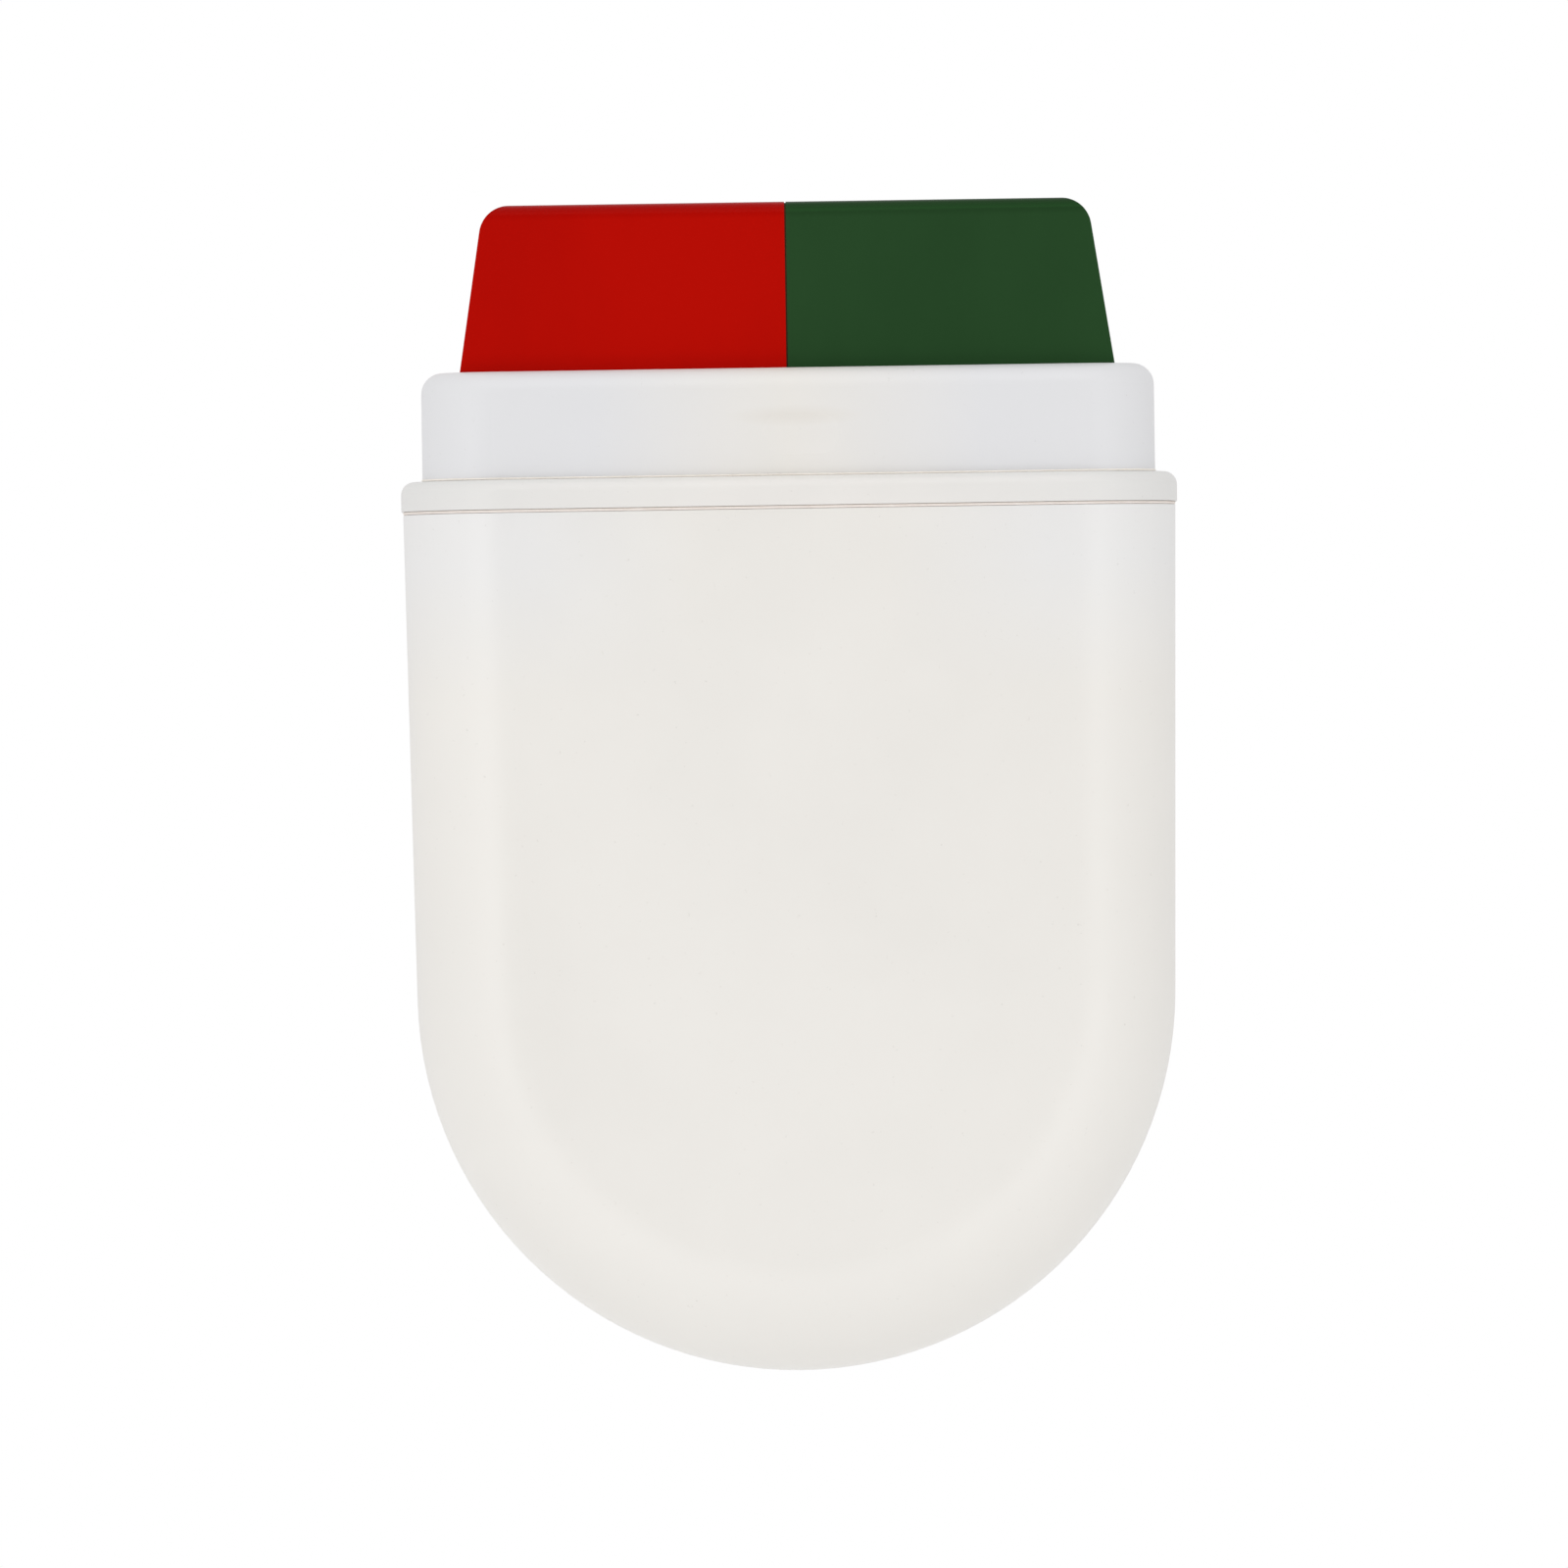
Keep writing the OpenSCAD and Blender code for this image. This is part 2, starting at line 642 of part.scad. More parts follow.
module lead_grommet() color("black") difference() {
    union() {
        rod_z(7, 0, 110, collar_z, neck_z);
        rod_z(9, 0, 110, neck_z, neck_z + 1.6);
        rod_z(9, 0, 110, collar_z - 1.6, collar_z);
    }
    block(-5.2, 5.2, 107.8, 112.2, collar_z - 3, neck_z + 3);
}

// One post of the light engine, on the right; the left one mirrors it
module heat_sink() {
    block(8, 86, post_d, post_d + 5, neck_z, 190);
    block(8, 86, post_d - 12, post_d + 14, neck_z, neck_z + 3);
    for (i = [0:9]) block(20 + i * 7, 22 + i * 7, post_d - 11, post_d, neck_z, 187);
}

module heat_sinks() color("silver") mirrored() heat_sink();

module led_board() {
    block(10, 84, post_d + 5, post_d + 6.6, 135, 188);
}

module led_grid() {
    pitch_x = 66 / (led_columns - 1);
    pitch_z = 42 / (led_rows - 1);
    for (i = [0:led_columns - 1], k = [0:led_rows - 1])
        translate([14 + i * pitch_x, -post_d - 6.6, 140.5 + k * pitch_z]) rotate([90, 0, 0]) {
            cylinder(r = 2.7, h = 1);
            sphere(r = 2.2);
        }
}

module red_led_board() color("whitesmoke") mirror([1, 0, 0]) led_board();
module green_led_board() color("whitesmoke") led_board();
module leds() {
    difference() {
        led_grid();
        block(0, 100, post_d, post_d + 6.6, 120, 200);
    }
}
module red_leds() color("tomato") mirror([1, 0, 0]) leds();
module green_leds() color("palegreen") leds();

module head_hinge_pins() color("silver") for (s = [-1, 1])
    rod_x(head_pin_r, head_d, head_z, s * head_hinge_x - 17, s * head_hinge_x + 17);

// ---- cover, hinged on the left ----

module front_cover() color("white") difference() {
    intersection() {
        union() {
            difference() {
                d_solid(0, front_round, cover_back, front);
                d_solid(wall, front_round - wall, cover_back - 2, front - wall);
            }
            intersection() {
                d_solid(1.5, front_round - 1.5, cover_back + 3, front - 1.5);
                union() {
                    for (z = hinge_low) block(-130, leaf_x, flange + 4, 119, z - 1, z + hinge_h + 1);
                    rod_x(13, lock_d, lock_z, cam_x + cam_t + 1, 130);
                }
            }
        }
        block(-150, 150, 0, front + 10, -drop - 5, rim_z - 0.3);
    }
    rod_x(lock_r + running, lock_d, lock_z, 100, 130);
    rod_x(lock_head_r + 0.1, lock_d, lock_z, lock_head_x, 130);
}

module cover_hinge_leaves() color("silver") for (z = hinge_low) difference() {
    union() {
        rod_z(hinge_r, hinge_x, hinge_d, z + hinge_h / 3 + 0.1, z + hinge_h * 2 / 3 - 0.1);
        block(leaf_x, leaf_x + leaf_t, hinge_d, flange + 5, z + hinge_h / 3 + 0.1, z + hinge_h * 2 / 3 - 0.1);
        block(leaf_x, leaf_x + leaf_t, flange + 4, 118, z, z + hinge_h);
    }
    rod_z(hinge_pin_r + running, hinge_x, hinge_d, z - 1, z + hinge_h + 1);
}

module lock_barrel() color("silver") difference() {
    union() {
        rod_x(lock_r, lock_d, lock_z, cam_x + cam_t, lock_head_x);
        rod_x(lock_head_r, lock_d, lock_z, lock_head_x, lock_head_x + 1.4);
    }
    translate([lock_head_x - 3, -lock_d, lock_z]) rotate([0, 90, 0]) cylinder(r = 5, h = 10, $fn = 3);
}

// A disc with an open mouth at the back and a curved slot that draws in the keeper's pin
module lock_cam() color("silver") translate([0, -lock_d, lock_z]) sideways(cam_x, cam_x + cam_t)
    difference() {
        slot = keeper_pin_r + 0.5;
        circle(cam_r);
        intersection() {
            difference() {
                circle(keeper_ring + slot);
                circle(keeper_ring - slot);
            }
            translate([0, -20]) square(20);
        }
        translate([keeper_ring, 0]) circle(slot);
        translate([0, -keeper_ring]) circle(slot);
        translate([keeper_ring, -slot]) square([10, 2 * slot]);
    }

module cam_bolt() color("silver") translate([cam_x - 4, -lock_d, lock_z]) rotate([0, 90, 0])
    cylinder(r = 5.5, h = 4, $fn = 6);

// ---- lamp head, hinged at the back ----

module neck_shell() color("white") difference() {
    union() {
        difference() {
            translate([0, 0, neck_base])
                soft_plate(neck_w / 2, neck_back, neck_front, neck_back_round, neck_round,
                    lens_z - neck_base, neck_edge);
            translate([0, 0, neck_base - 1])
                soft_plate(neck_w / 2 - wall, neck_back + wall, neck_front - wall, neck_back_round - wall,
                    neck_round - wall, lens_z - wall - neck_base + 1, neck_edge - wall);
        }
        for (s = [-1, 1]) {
            rod_x(head_r, head_d, head_z, s * head_hinge_x - 5.7, s * head_hinge_x + 5.7);
            block(s * head_hinge_x - 5.7, s * head_hinge_x + 5.7, head_d, neck_back + 1,
                head_z - 2.5, head_z + head_r);
        }
        for (h = clamp_holes) rod_z(2.6, h[0], lens_mid + h[1], lens_flange_z, lens_z - wall + 1);
    }
    rod_x(head_pin_r + running, head_d, head_z, -80, 80);
    block(-lens_base_w / 2 - 0.2, lens_base_w / 2 + 0.2, lens_mid - lens_base_d / 2 - 0.2,
        lens_mid + lens_base_d / 2 + 0.2, lens_z - 5, lens_z + 5);
    for (h = clamp_holes) rod_z(1.5, h[0], lens_mid + h[1], lens_flange_z - 1, lens_z - 1.2);
    finger_dimple();
}

// Shallow finger dimple in the middle of the neck's front, longer across than up
module finger_dimple() {
    dimple_x = 4;
    dimple_z = 140;
    half_w = 12;
    half_h = 6.5;
    depth = 0.55;
    r = (half_h * half_h + depth * depth) / (2 * depth);
    translate([dimple_x, -(neck_front + r - depth), dimple_z]) {
        mirrored() translate([half_w - half_h, 0, 0]) sphere(r);
        translate([half_h - half_w, 0, 0]) rotate([0, 90, 0]) cylinder(r = r, h = 2 * (half_w - half_h));
    }
}

module head_gasket() color("dimgray") translate([0, 0, neck_z + 0.1])
    plan_ring(neck_w / 2 - 0.8, neck_back + 0.8, neck_front - 0.8, neck_back_round - 0.8,
        neck_round - 0.8, 3, gasket_t);

// One side of the lens block, hollow, with its own wall at the middle and a flange
module lens_half() {
    base_half = lens_base_w / 2;
    foot = lens_z - lens_flange_z;
    intersection() {
        union() {
            difference() {
                lens_block(0, foot);
                intersection() {
                    lens_block(lens_wall, foot + 1);
                    block(split + 2, base_half, 0, front, lens_flange_z - 2, lens_top);
                }
            }
            lens_ring(base_half + 2, lens_base_d / 2 + 2, base_half - 1, lens_base_d / 2 - 1,
                lens_flange_z, lens_flange_z + 2.6);
        }
        block(split, base_half + 10, 0, front, lens_flange_z, lens_top + 1);
    }
}

module red_lens() color("firebrick") mirror([1, 0, 0]) lens_half();
module green_lens() color("darkgreen") lens_half();

module light_divider() color("black") intersection() {
    lens_block(0.5, lens_z - lens_flange_z);
    block(-split + 0.05, split - 0.05, 0, front, lens_flange_z, lens_top);
}

module lens_seal() color("dimgray") lens_ring(lens_base_w / 2 + 2, lens_base_d / 2 + 2,
    lens_base_w / 2 + 0.01, lens_base_d / 2 + 0.01, lens_flange_z + 2.6, lens_z - wall);

module lens_clamp_frame() color("silver") difference() {
    translate([0, 0, lens_flange_z - 2.4]) linear_extrude(height = 2.4) difference() {
        plan(109, neck_back + 5, neck_front - 5, 10, neck_round - 4);
        plan(lens_base_w / 2 - 4, neck_back + 16, neck_front - 16, 4, 4);
    }
    for (h = clamp_holes) rod_z(1.6, h[0], lens_mid + h[1], lens_flange_z - 3, lens_flange_z + 1);
}

module lens_clamp_screws() color("silver") for (h = clamp_holes) {
    rod_z(1.45, h[0], lens_mid + h[1], lens_flange_z - 2.4, lens_z - 1.6);
    rod_z(2.5, h[0], lens_mid + h[1], lens_flange_z - 4.6, lens_flange_z - 2.4);
}

module head_keeper() color("silver") difference() {
    union() {
        block(-16, 16, spin_d - 6.5, neck_front - wall, neck_z + 6.5, neck_z + 9);
        block(-16, 16, neck_front - wall - 2.5, neck_front - wall, neck_z + 6.5, neck_z + 20);
    }
    block(-9, 9, spin_d - 4.5, spin_d + 4.5, neck_z + 5, neck_z + 10);
}

module head_lock_spindle() color("silver") {
    rod_z(spin_r, 0, spin_d, collar_z - 13, neck_z + 12);
    rod_z(6.5, 0, spin_d, neck_z + 0.1, neck_z + 2);
    block(-8, 8, spin_d - 2.5, spin_d + 2.5, neck_z + 11, neck_z + 15);
}

module head_lock_knob() color("dimgray") difference() {
    union() {
        rod_z(9, 0, spin_d, collar_z - 10, collar_z - 3);
        rod_z(6, 0, spin_d, collar_z - 3, collar_z - 0.3);
        block(-15, 15, spin_d - 2.5, spin_d + 2.5, collar_z - 18, collar_z - 9);
    }
    rod_z(spin_r, 0, spin_d, collar_z - 13, collar_z + 1);
}

wall_bracket();
swivel_bolt();
swivel_nut();
friction_washers();
swivel_lug();
lug_screws();
back_plate();
base_seal();
rim_collar();
collar_seal();
collar_screws();
base_hinge_leaves();
hinge_screws();
cover_hinge_pins();
lock_keeper();
cable_gland();
gland_nut();
vent_plug();
sounder();
standoffs();
chassis_plate();
chassis_screws();
led_driver();
control_board();
board_spacers();
board_parts();
din_rail();
terminal_block();
earth_stud();
mains_wires();
led_leads();
lead_grommet();
heat_sinks();
red_led_board();
green_led_board();
red_leds();
green_leds();
head_hinge_pins();
front_cover();
cover_hinge_leaves();
lock_barrel();
lock_cam();
cam_bolt();
neck_shell();
head_gasket();
red_lens();
green_lens();
light_divider();
lens_seal();
lens_clamp_frame();
lens_clamp_screws();
head_keeper();
head_lock_spindle();
head_lock_knob();
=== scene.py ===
"""Looks for the two-aspect pedestrian signal: materials, fine pieces, soft studio light and camera."""
import math

import bmesh
import bpy
from mathutils import Matrix, Vector, geometry


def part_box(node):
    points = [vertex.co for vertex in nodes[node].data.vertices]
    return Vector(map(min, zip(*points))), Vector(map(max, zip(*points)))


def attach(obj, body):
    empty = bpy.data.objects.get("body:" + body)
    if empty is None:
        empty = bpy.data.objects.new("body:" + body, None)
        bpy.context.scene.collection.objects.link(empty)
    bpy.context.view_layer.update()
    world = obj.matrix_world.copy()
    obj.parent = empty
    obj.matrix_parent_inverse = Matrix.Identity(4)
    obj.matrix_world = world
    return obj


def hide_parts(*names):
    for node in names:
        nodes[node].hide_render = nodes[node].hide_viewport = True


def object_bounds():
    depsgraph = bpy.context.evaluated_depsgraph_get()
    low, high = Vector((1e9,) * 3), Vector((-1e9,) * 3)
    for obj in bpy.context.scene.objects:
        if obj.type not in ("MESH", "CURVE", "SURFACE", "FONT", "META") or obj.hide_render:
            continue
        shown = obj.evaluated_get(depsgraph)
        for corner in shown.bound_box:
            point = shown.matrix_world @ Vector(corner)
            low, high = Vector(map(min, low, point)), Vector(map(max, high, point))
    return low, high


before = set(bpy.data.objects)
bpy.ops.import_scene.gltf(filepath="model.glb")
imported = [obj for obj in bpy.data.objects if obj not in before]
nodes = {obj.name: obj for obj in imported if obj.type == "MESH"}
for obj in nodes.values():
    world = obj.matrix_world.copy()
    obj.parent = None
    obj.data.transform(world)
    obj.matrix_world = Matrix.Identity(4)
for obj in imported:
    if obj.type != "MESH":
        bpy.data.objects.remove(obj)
cad_low, cad_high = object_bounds()

MM = 0.001


# ---- node helpers ----

def colour(red, green, blue):
    """An 8-bit display colour as the linear colour that shaders use."""

    def linear(value):
        share = value / 255
        return share / 12.92 if share <= 0.04045 else ((share + 0.055) / 1.055) ** 2.4

    return (linear(red), linear(green), linear(blue), 1.0)


def connect(tree, value, socket):
    """Feeds a socket from another node's output, or sets it to a fixed value."""
    if isinstance(value, bpy.types.NodeSocket):
        tree.links.new(value, socket)
    else:
        socket.default_value = value


def add(tree, kind, inputs=(), **settings):
    """A new shader node with its properties set and its inputs fed."""
    node = tree.nodes.new("ShaderNode" + kind)
    for name, value in settings.items():
        setattr(node, name, value)
    for name, value in dict(inputs).items():
        connect(tree, value, node.inputs[name])
    return node


def surface(name, **fixed):
    """A new material, its node tree and its shader, with the shader's uniform values set."""
    material = bpy.data.materials.new(name)
    material.use_nodes = True
    shader = material.node_tree.nodes["Principled BSDF"]
    for socket, value in fixed.items():
        shader.inputs[socket.replace("_", " ")].default_value = value
    return material, material.node_tree, shader


def place(tree, stretch=(1, 1, 1)):
    """The piece's own coordinates in metres, stretched along an axis where grain needs it."""
    point = add(tree, "TexCoord").outputs["Object"]
    if stretch == (1, 1, 1):
        return point
    return add(tree, "Mapping", {"Vector": point, "Scale": stretch}).outputs["Vector"]


def noise(tree, size, detail=2.0, roughness=0.5, stretch=(1, 1, 1)):
    """Cloudy noise whose blotches are about size metres across."""
    return add(tree, "TexNoise", {"Vector": place(tree, stretch), "Scale": 1 / size,
                                  "Detail": detail, "Roughness": roughness}).outputs["Fac"]


def span(tree, value, low, high, to_low=0.0, to_high=1.0):
    """Maps low..high to to_low..to_high and clamps."""
    return add(tree, "MapRange", {"Value": value, "From Min": low, "From Max": high,
                                  "To Min": to_low, "To Max": to_high}).outputs["Result"]


def maths(tree, operation, a, b=0.0):
    """The result of one arithmetic step on a, or on a and b."""
    node = add(tree, "Math", operation=operation)
    connect(tree, a, node.inputs[0])
    connect(tree, b, node.inputs[1])
    return node.outputs[0]


def mix(tree, share, first, second):
    """A colour from first to second as share goes from 0 to 1."""
    node = add(tree, "Mix", data_type="RGBA")
    connect(tree, share, node.inputs[0])
    connect(tree, first, node.inputs[6])
    connect(tree, second, node.inputs[7])
    return node.outputs[2]


def bump(tree, height, depth, under=None):
    """Relief of the given depth in metres, on top of an earlier one."""
    inputs = {"Height": height, "Distance": depth, "Strength": 1.0}
    if under is not None:
        inputs["Normal"] = under
    return add(tree, "Bump", inputs).outputs["Normal"]


# ---- materials ----
# Sizes are in metres. Noise is mapped from its middle range, because it seldom leaves that.

DUST = colour(150, 143, 132)
STEEL = (colour(196, 199, 202), colour(172, 174, 178))
TIN_DOT = colour(196, 198, 196)


def painted_side_shade(tree, tone, edge):
    """Brings a second, darker tone in towards the sides and the top, as painted shade.

    edge is (colour, from x, to x, from z, to z), in metres; x counts outwards on both sides.
    """
    second, x_from, x_to, z_from, z_to = edge
    point = add(tree, "SeparateXYZ", {"Vector": place(tree)}).outputs
    side = span(tree, maths(tree, "ABSOLUTE", point["X"]), x_from, x_to)
    height = span(tree, point["Z"], z_from, z_to)
    return mix(tree, maths(tree, "MULTIPLY", side, height), tone, second)


def painted_recess_shadow(tree, tone, recess_shadow):
    """Paints a soft oval patch of shadow over a tone, a painted shadow along the shaded top of the finger
    recess. The patch is (colour, middle, half sizes).
    """
    shadow_tone, middle, half = recess_shadow
    away = add(tree, "VectorMath", {0: place(tree), 1: middle}, operation="SUBTRACT").outputs[0]
    scaled = add(tree, "VectorMath", {0: away, 1: half}, operation="DIVIDE").outputs[0]
    reach = add(tree, "VectorMath", {0: scaled}, operation="LENGTH").outputs["Value"]
    return mix(tree, span(tree, reach, 0.2, 1.0, 1.0, 0.0), tone, shadow_tone)


def moulded(name, light, shade, roughness=0.4, grain=0.0006, relief=0.00001, speck=0.0, edge=None,
            shine=0.5, recess_shadow=None):
    """Injection-moulded plastic: faint cloudy tone, fine spark-eroded grain, uneven satin gloss.

    speck is how strongly fine dust shows. edge is the painted side shade and the last argument the
    painted recess shadow, as the two tone helpers above take them.
    """
    material, tree, shader = surface(name, Specular_IOR_Level=shine)
    cloud = noise(tree, 0.09, 3.0, 0.55)
    tone = mix(tree, span(tree, cloud, 0.38, 0.62), light, shade)
    # painted shade towards the sides and the top
    if edge:
        tone = painted_side_shade(tree, tone, edge)
    # painted shadow over the finger recess
    if recess_shadow:
        tone = painted_recess_shadow(tree, tone, recess_shadow)
    if speck:
        dust = span(tree, noise(tree, 0.0016, 4.0, 0.7), 0.66, 0.74, 0.0, speck)
        tone = mix(tree, dust, tone, DUST)
    connect(tree, tone, shader.inputs["Base Color"])
    gloss = noise(tree, 0.02, 4.0, 0.6)
    connect(tree, span(tree, gloss, 0.3, 0.7, roughness - 0.04, roughness + 0.05),
            shader.inputs["Roughness"])
    flow = bump(tree, noise(tree, 0.03, 2.0), relief * 2)
    connect(tree, bump(tree, noise(tree, grain, 2.0, 0.6), relief, flow), shader.inputs["Normal"])
    return material


def striped(name, first, second):
    """Two-colour wire insulation, its stripe winding round the run."""
    material, tree, shader = surface(name, Specular_IOR_Level=0.5)
    wave = add(tree, "TexWave", {"Vector": place(tree), "Scale": 130.0, "Distortion": 0.0},
               wave_type="BANDS", bands_direction="DIAGONAL").outputs["Fac"]
    connect(tree, mix(tree, span(tree, wave, 0.47, 0.53), first, second), shader.inputs["Base Color"])
    connect(tree, span(tree, noise(tree, 0.01, 3.0), 0.3, 0.7, 0.42, 0.55), shader.inputs["Roughness"])
    return material


def lens(name, light, shade, painted_top_shade, tint):
    """Pigmented polycarbonate lens: deep even colour with faint moulding streaks, thin gloss.

    Its top few millimetres take a darker colour, painted shade that damps the reflection of the light
    above in the rounded top edge.
    """
    material, tree, shader = surface(name, Specular_IOR_Level=0.14, Specular_Tint=tint, IOR=1.58)
    streaks = span(tree, noise(tree, 0.03, 3.0, 0.5, (1, 1, 0.35)), 0.35, 0.65)
    height = add(tree, "SeparateXYZ", {"Vector": place(tree)}).outputs["Z"]
    # painted shade over the lens's top few millimetres
    top = span(tree, height, cad_high.z - 5 * MM, cad_high.z - MM)
    connect(tree, mix(tree, top, mix(tree, streaks, light, shade), painted_top_shade), shader.inputs["Base Color"])
    connect(tree, span(tree, noise(tree, 0.008, 5.0, 0.65), 0.3, 0.7, 0.12, 0.2),
            shader.inputs["Roughness"])
    wave = bump(tree, noise(tree, 0.018, 2.0), 0.00001)
    connect(tree, bump(tree, noise(tree, 0.0005, 2.0), 0.000002, wave), shader.inputs["Normal"])
    return material


def rubber(name, light, shade, roughness=0.8):
    """Closed-cell rubber: dull, with pores and a little bloom."""
    material, tree, shader = surface(name, Specular_IOR_Level=0.3)
    bloom = span(tree, noise(tree, 0.006, 5.0, 0.7), 0.35, 0.7)
    connect(tree, mix(tree, bloom, light, shade), shader.inputs["Base Color"])
    connect(tree, span(tree, bloom, 0.0, 1.0, roughness - 0.1, roughness + 0.08),
            shader.inputs["Roughness"])
    pores = add(tree, "TexVoronoi", {"Vector": place(tree), "Scale": 1 / 0.0007}).outputs["Distance"]
    connect(tree, bump(tree, pores, 0.00006), shader.inputs["Normal"])
    return material


def nylon(name, light, shade):
    """Glass-filled nylon: dark, with pale fibre flecks and a fine mould grain."""
    material, tree, shader = surface(name, Specular_IOR_Level=0.45)
    fleck = span(tree, noise(tree, 0.0009, 3.0, 0.8, (1, 1, 0.25)), 0.6, 0.75)
    connect(tree, mix(tree, fleck, light, shade), shader.inputs["Base Color"])
    connect(tree, span(tree, noise(tree, 0.004, 4.0), 0.3, 0.7, 0.42, 0.6),
            shader.inputs["Roughness"])
    connect(tree, bump(tree, noise(tree, 0.0005, 2.0), 0.00002), shader.inputs["Normal"])
    return material


def powder_coat(name, light, shade):
    """Powder coat over a sand casting: orange peel over soft lumps, dirt held in the low spots."""
    material, tree, shader = surface(name, Specular_IOR_Level=0.5, Coat_Weight=0.15, Coat_Roughness=0.35)
    lumps = noise(tree, 0.006, 4.0, 0.6)
    dirt = span(tree, noise(tree, 0.035, 6.0, 0.6), 0.5, 0.85, 0.0, 0.6)
    connect(tree, mix(tree, dirt, light, shade), shader.inputs["Base Color"])
    connect(tree, span(tree, lumps, 0.3, 0.7, 0.38, 0.56), shader.inputs["Roughness"])
    cast = bump(tree, lumps, 0.00025)
    peel = add(tree, "TexVoronoi", {"Vector": place(tree), "Scale": 1 / 0.0012},
               feature="SMOOTH_F1").outputs["Distance"]
    connect(tree, bump(tree, peel, 0.00005, cast), shader.inputs["Normal"])
    return material


def metal(name, light, shade, roughness=0.3, size=0.006, stretch=(1, 1, 1), relief=0.00001):
    """Bare or plated metal: patchy tint, fine scratches along the stretch, uneven polish."""
    material, tree, shader = surface(name, Metallic=1.0)
    patch = span(tree, noise(tree, size, 4.0, 0.6), 0.35, 0.68)
    connect(tree, mix(tree, patch, light, shade), shader.inputs["Base Color"])
    scratch = noise(tree, 0.0006, 3.0, 0.7, stretch)
    connect(tree, span(tree, scratch, 0.25, 0.75, roughness - 0.1, roughness + 0.12),
            shader.inputs["Roughness"])
    connect(tree, bump(tree, scratch, relief), shader.inputs["Normal"])
    return material


def galvanised(name):
    """Hot-dip zinc on sheet: crystal spangle with its own tone and gloss in each grain."""
    material, tree, shader = surface(name, Metallic=1.0)
    cells = add(tree, "TexVoronoi", {"Vector": place(tree), "Scale": 1 / 0.007})
    grain = add(tree, "SeparateColor", {"Color": cells.outputs["Color"]}).outputs[0]
    connect(tree, mix(tree, grain, colour(176, 181, 184), colour(208, 211, 213)),
            shader.inputs["Base Color"])
    connect(tree, span(tree, grain, 0.0, 1.0, 0.34, 0.52), shader.inputs["Roughness"])
    connect(tree, bump(tree, cells.outputs["Distance"], 0.00002), shader.inputs["Normal"])
    return material


def circuit(name, mask, copper, pitch=0.0025):
    """A printed circuit board: solder mask over tracks and copper fill, with tinned dots."""
    material, tree, shader = surface(name, Specular_IOR_Level=0.5, Coat_Weight=0.4, Coat_Roughness=0.2)
    upright = add(tree, "Mapping", {"Vector": place(tree), "Rotation": (math.pi / 2, 0, 0)})
    track = add(tree, "TexBrick", {"Vector": upright.outputs["Vector"], "Scale": 1 / pitch,
                                   "Mortar Size": 0.09, "Mortar Smooth": 0.2, "Brick Width": 2.6,
                                   "Row Height": 0.5, "Bias": 0.0}, offset=0.37).outputs["Fac"]
    fill = maths(tree, "MULTIPLY", span(tree, noise(tree, 0.02, 1.0), 0.5, 0.52), 0.6)
    copper_share = maths(tree, "MULTIPLY", maths(tree, "MAXIMUM", track, fill), 0.8)
    dots = add(tree, "TexVoronoi", {"Vector": place(tree), "Scale": 1 / 0.0065, "Randomness": 0.55})
    pad = span(tree, dots.outputs["Distance"], 0.1, 0.12, 1.0, 0.0)
    connect(tree, mix(tree, pad, mix(tree, copper_share, mask, copper), TIN_DOT),
            shader.inputs["Base Color"])
    connect(tree, maths(tree, "MULTIPLY", pad, 0.9), shader.inputs["Metallic"])
    connect(tree, span(tree, noise(tree, 0.003, 3.0), 0.3, 0.7, 0.28, 0.42), shader.inputs["Roughness"])
    connect(tree, bump(tree, track, 0.00003), shader.inputs["Normal"])
    return material


def emitter(name, dome, rim):
    """An unlit LED: tinted epoxy that darkens towards the chip."""
    material, tree, shader = surface(name, Specular_IOR_Level=0.5, Coat_Weight=0.6, Coat_Roughness=0.06,
                                     Subsurface_Weight=0.2, Subsurface_Scale=0.001)
    core = span(tree, noise(tree, 0.002, 1.0), 0.4, 0.6)
    connect(tree, mix(tree, core, dome, rim), shader.inputs["Base Color"])
    connect(tree, span(tree, noise(tree, 0.001, 2.0), 0.3, 0.7, 0.12, 0.24), shader.inputs["Roughness"])
    return material


neck_low, neck_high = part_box("neck_shell")
# A painted shadow over the neck's finger recess: a darker oval, wide and low, 15 mm below the neck's top
FINGER_RECESS_SHADOW = (colour(228, 224, 218), (2 * MM, neck_low.y, neck_high.z - 15 * MM),
               (22 * MM, 50 * MM, 3.5 * MM))
# Painted shade: a darker, cooler tone towards the sides of each part, and on the housing towards its
# upper part
UPPER_CORNER_SHADE = (colour(234, 233, 232), 30 * MM, 80 * MM, 60 * MM, 100 * MM)
COLLAR_END_SHADE = (colour(227, 226, 224), 20 * MM, 110 * MM, 0, 10 * MM)
NECK_SIDE_SHADE = (colour(226, 226, 228), 0, 60 * MM, 0, 10 * MM)

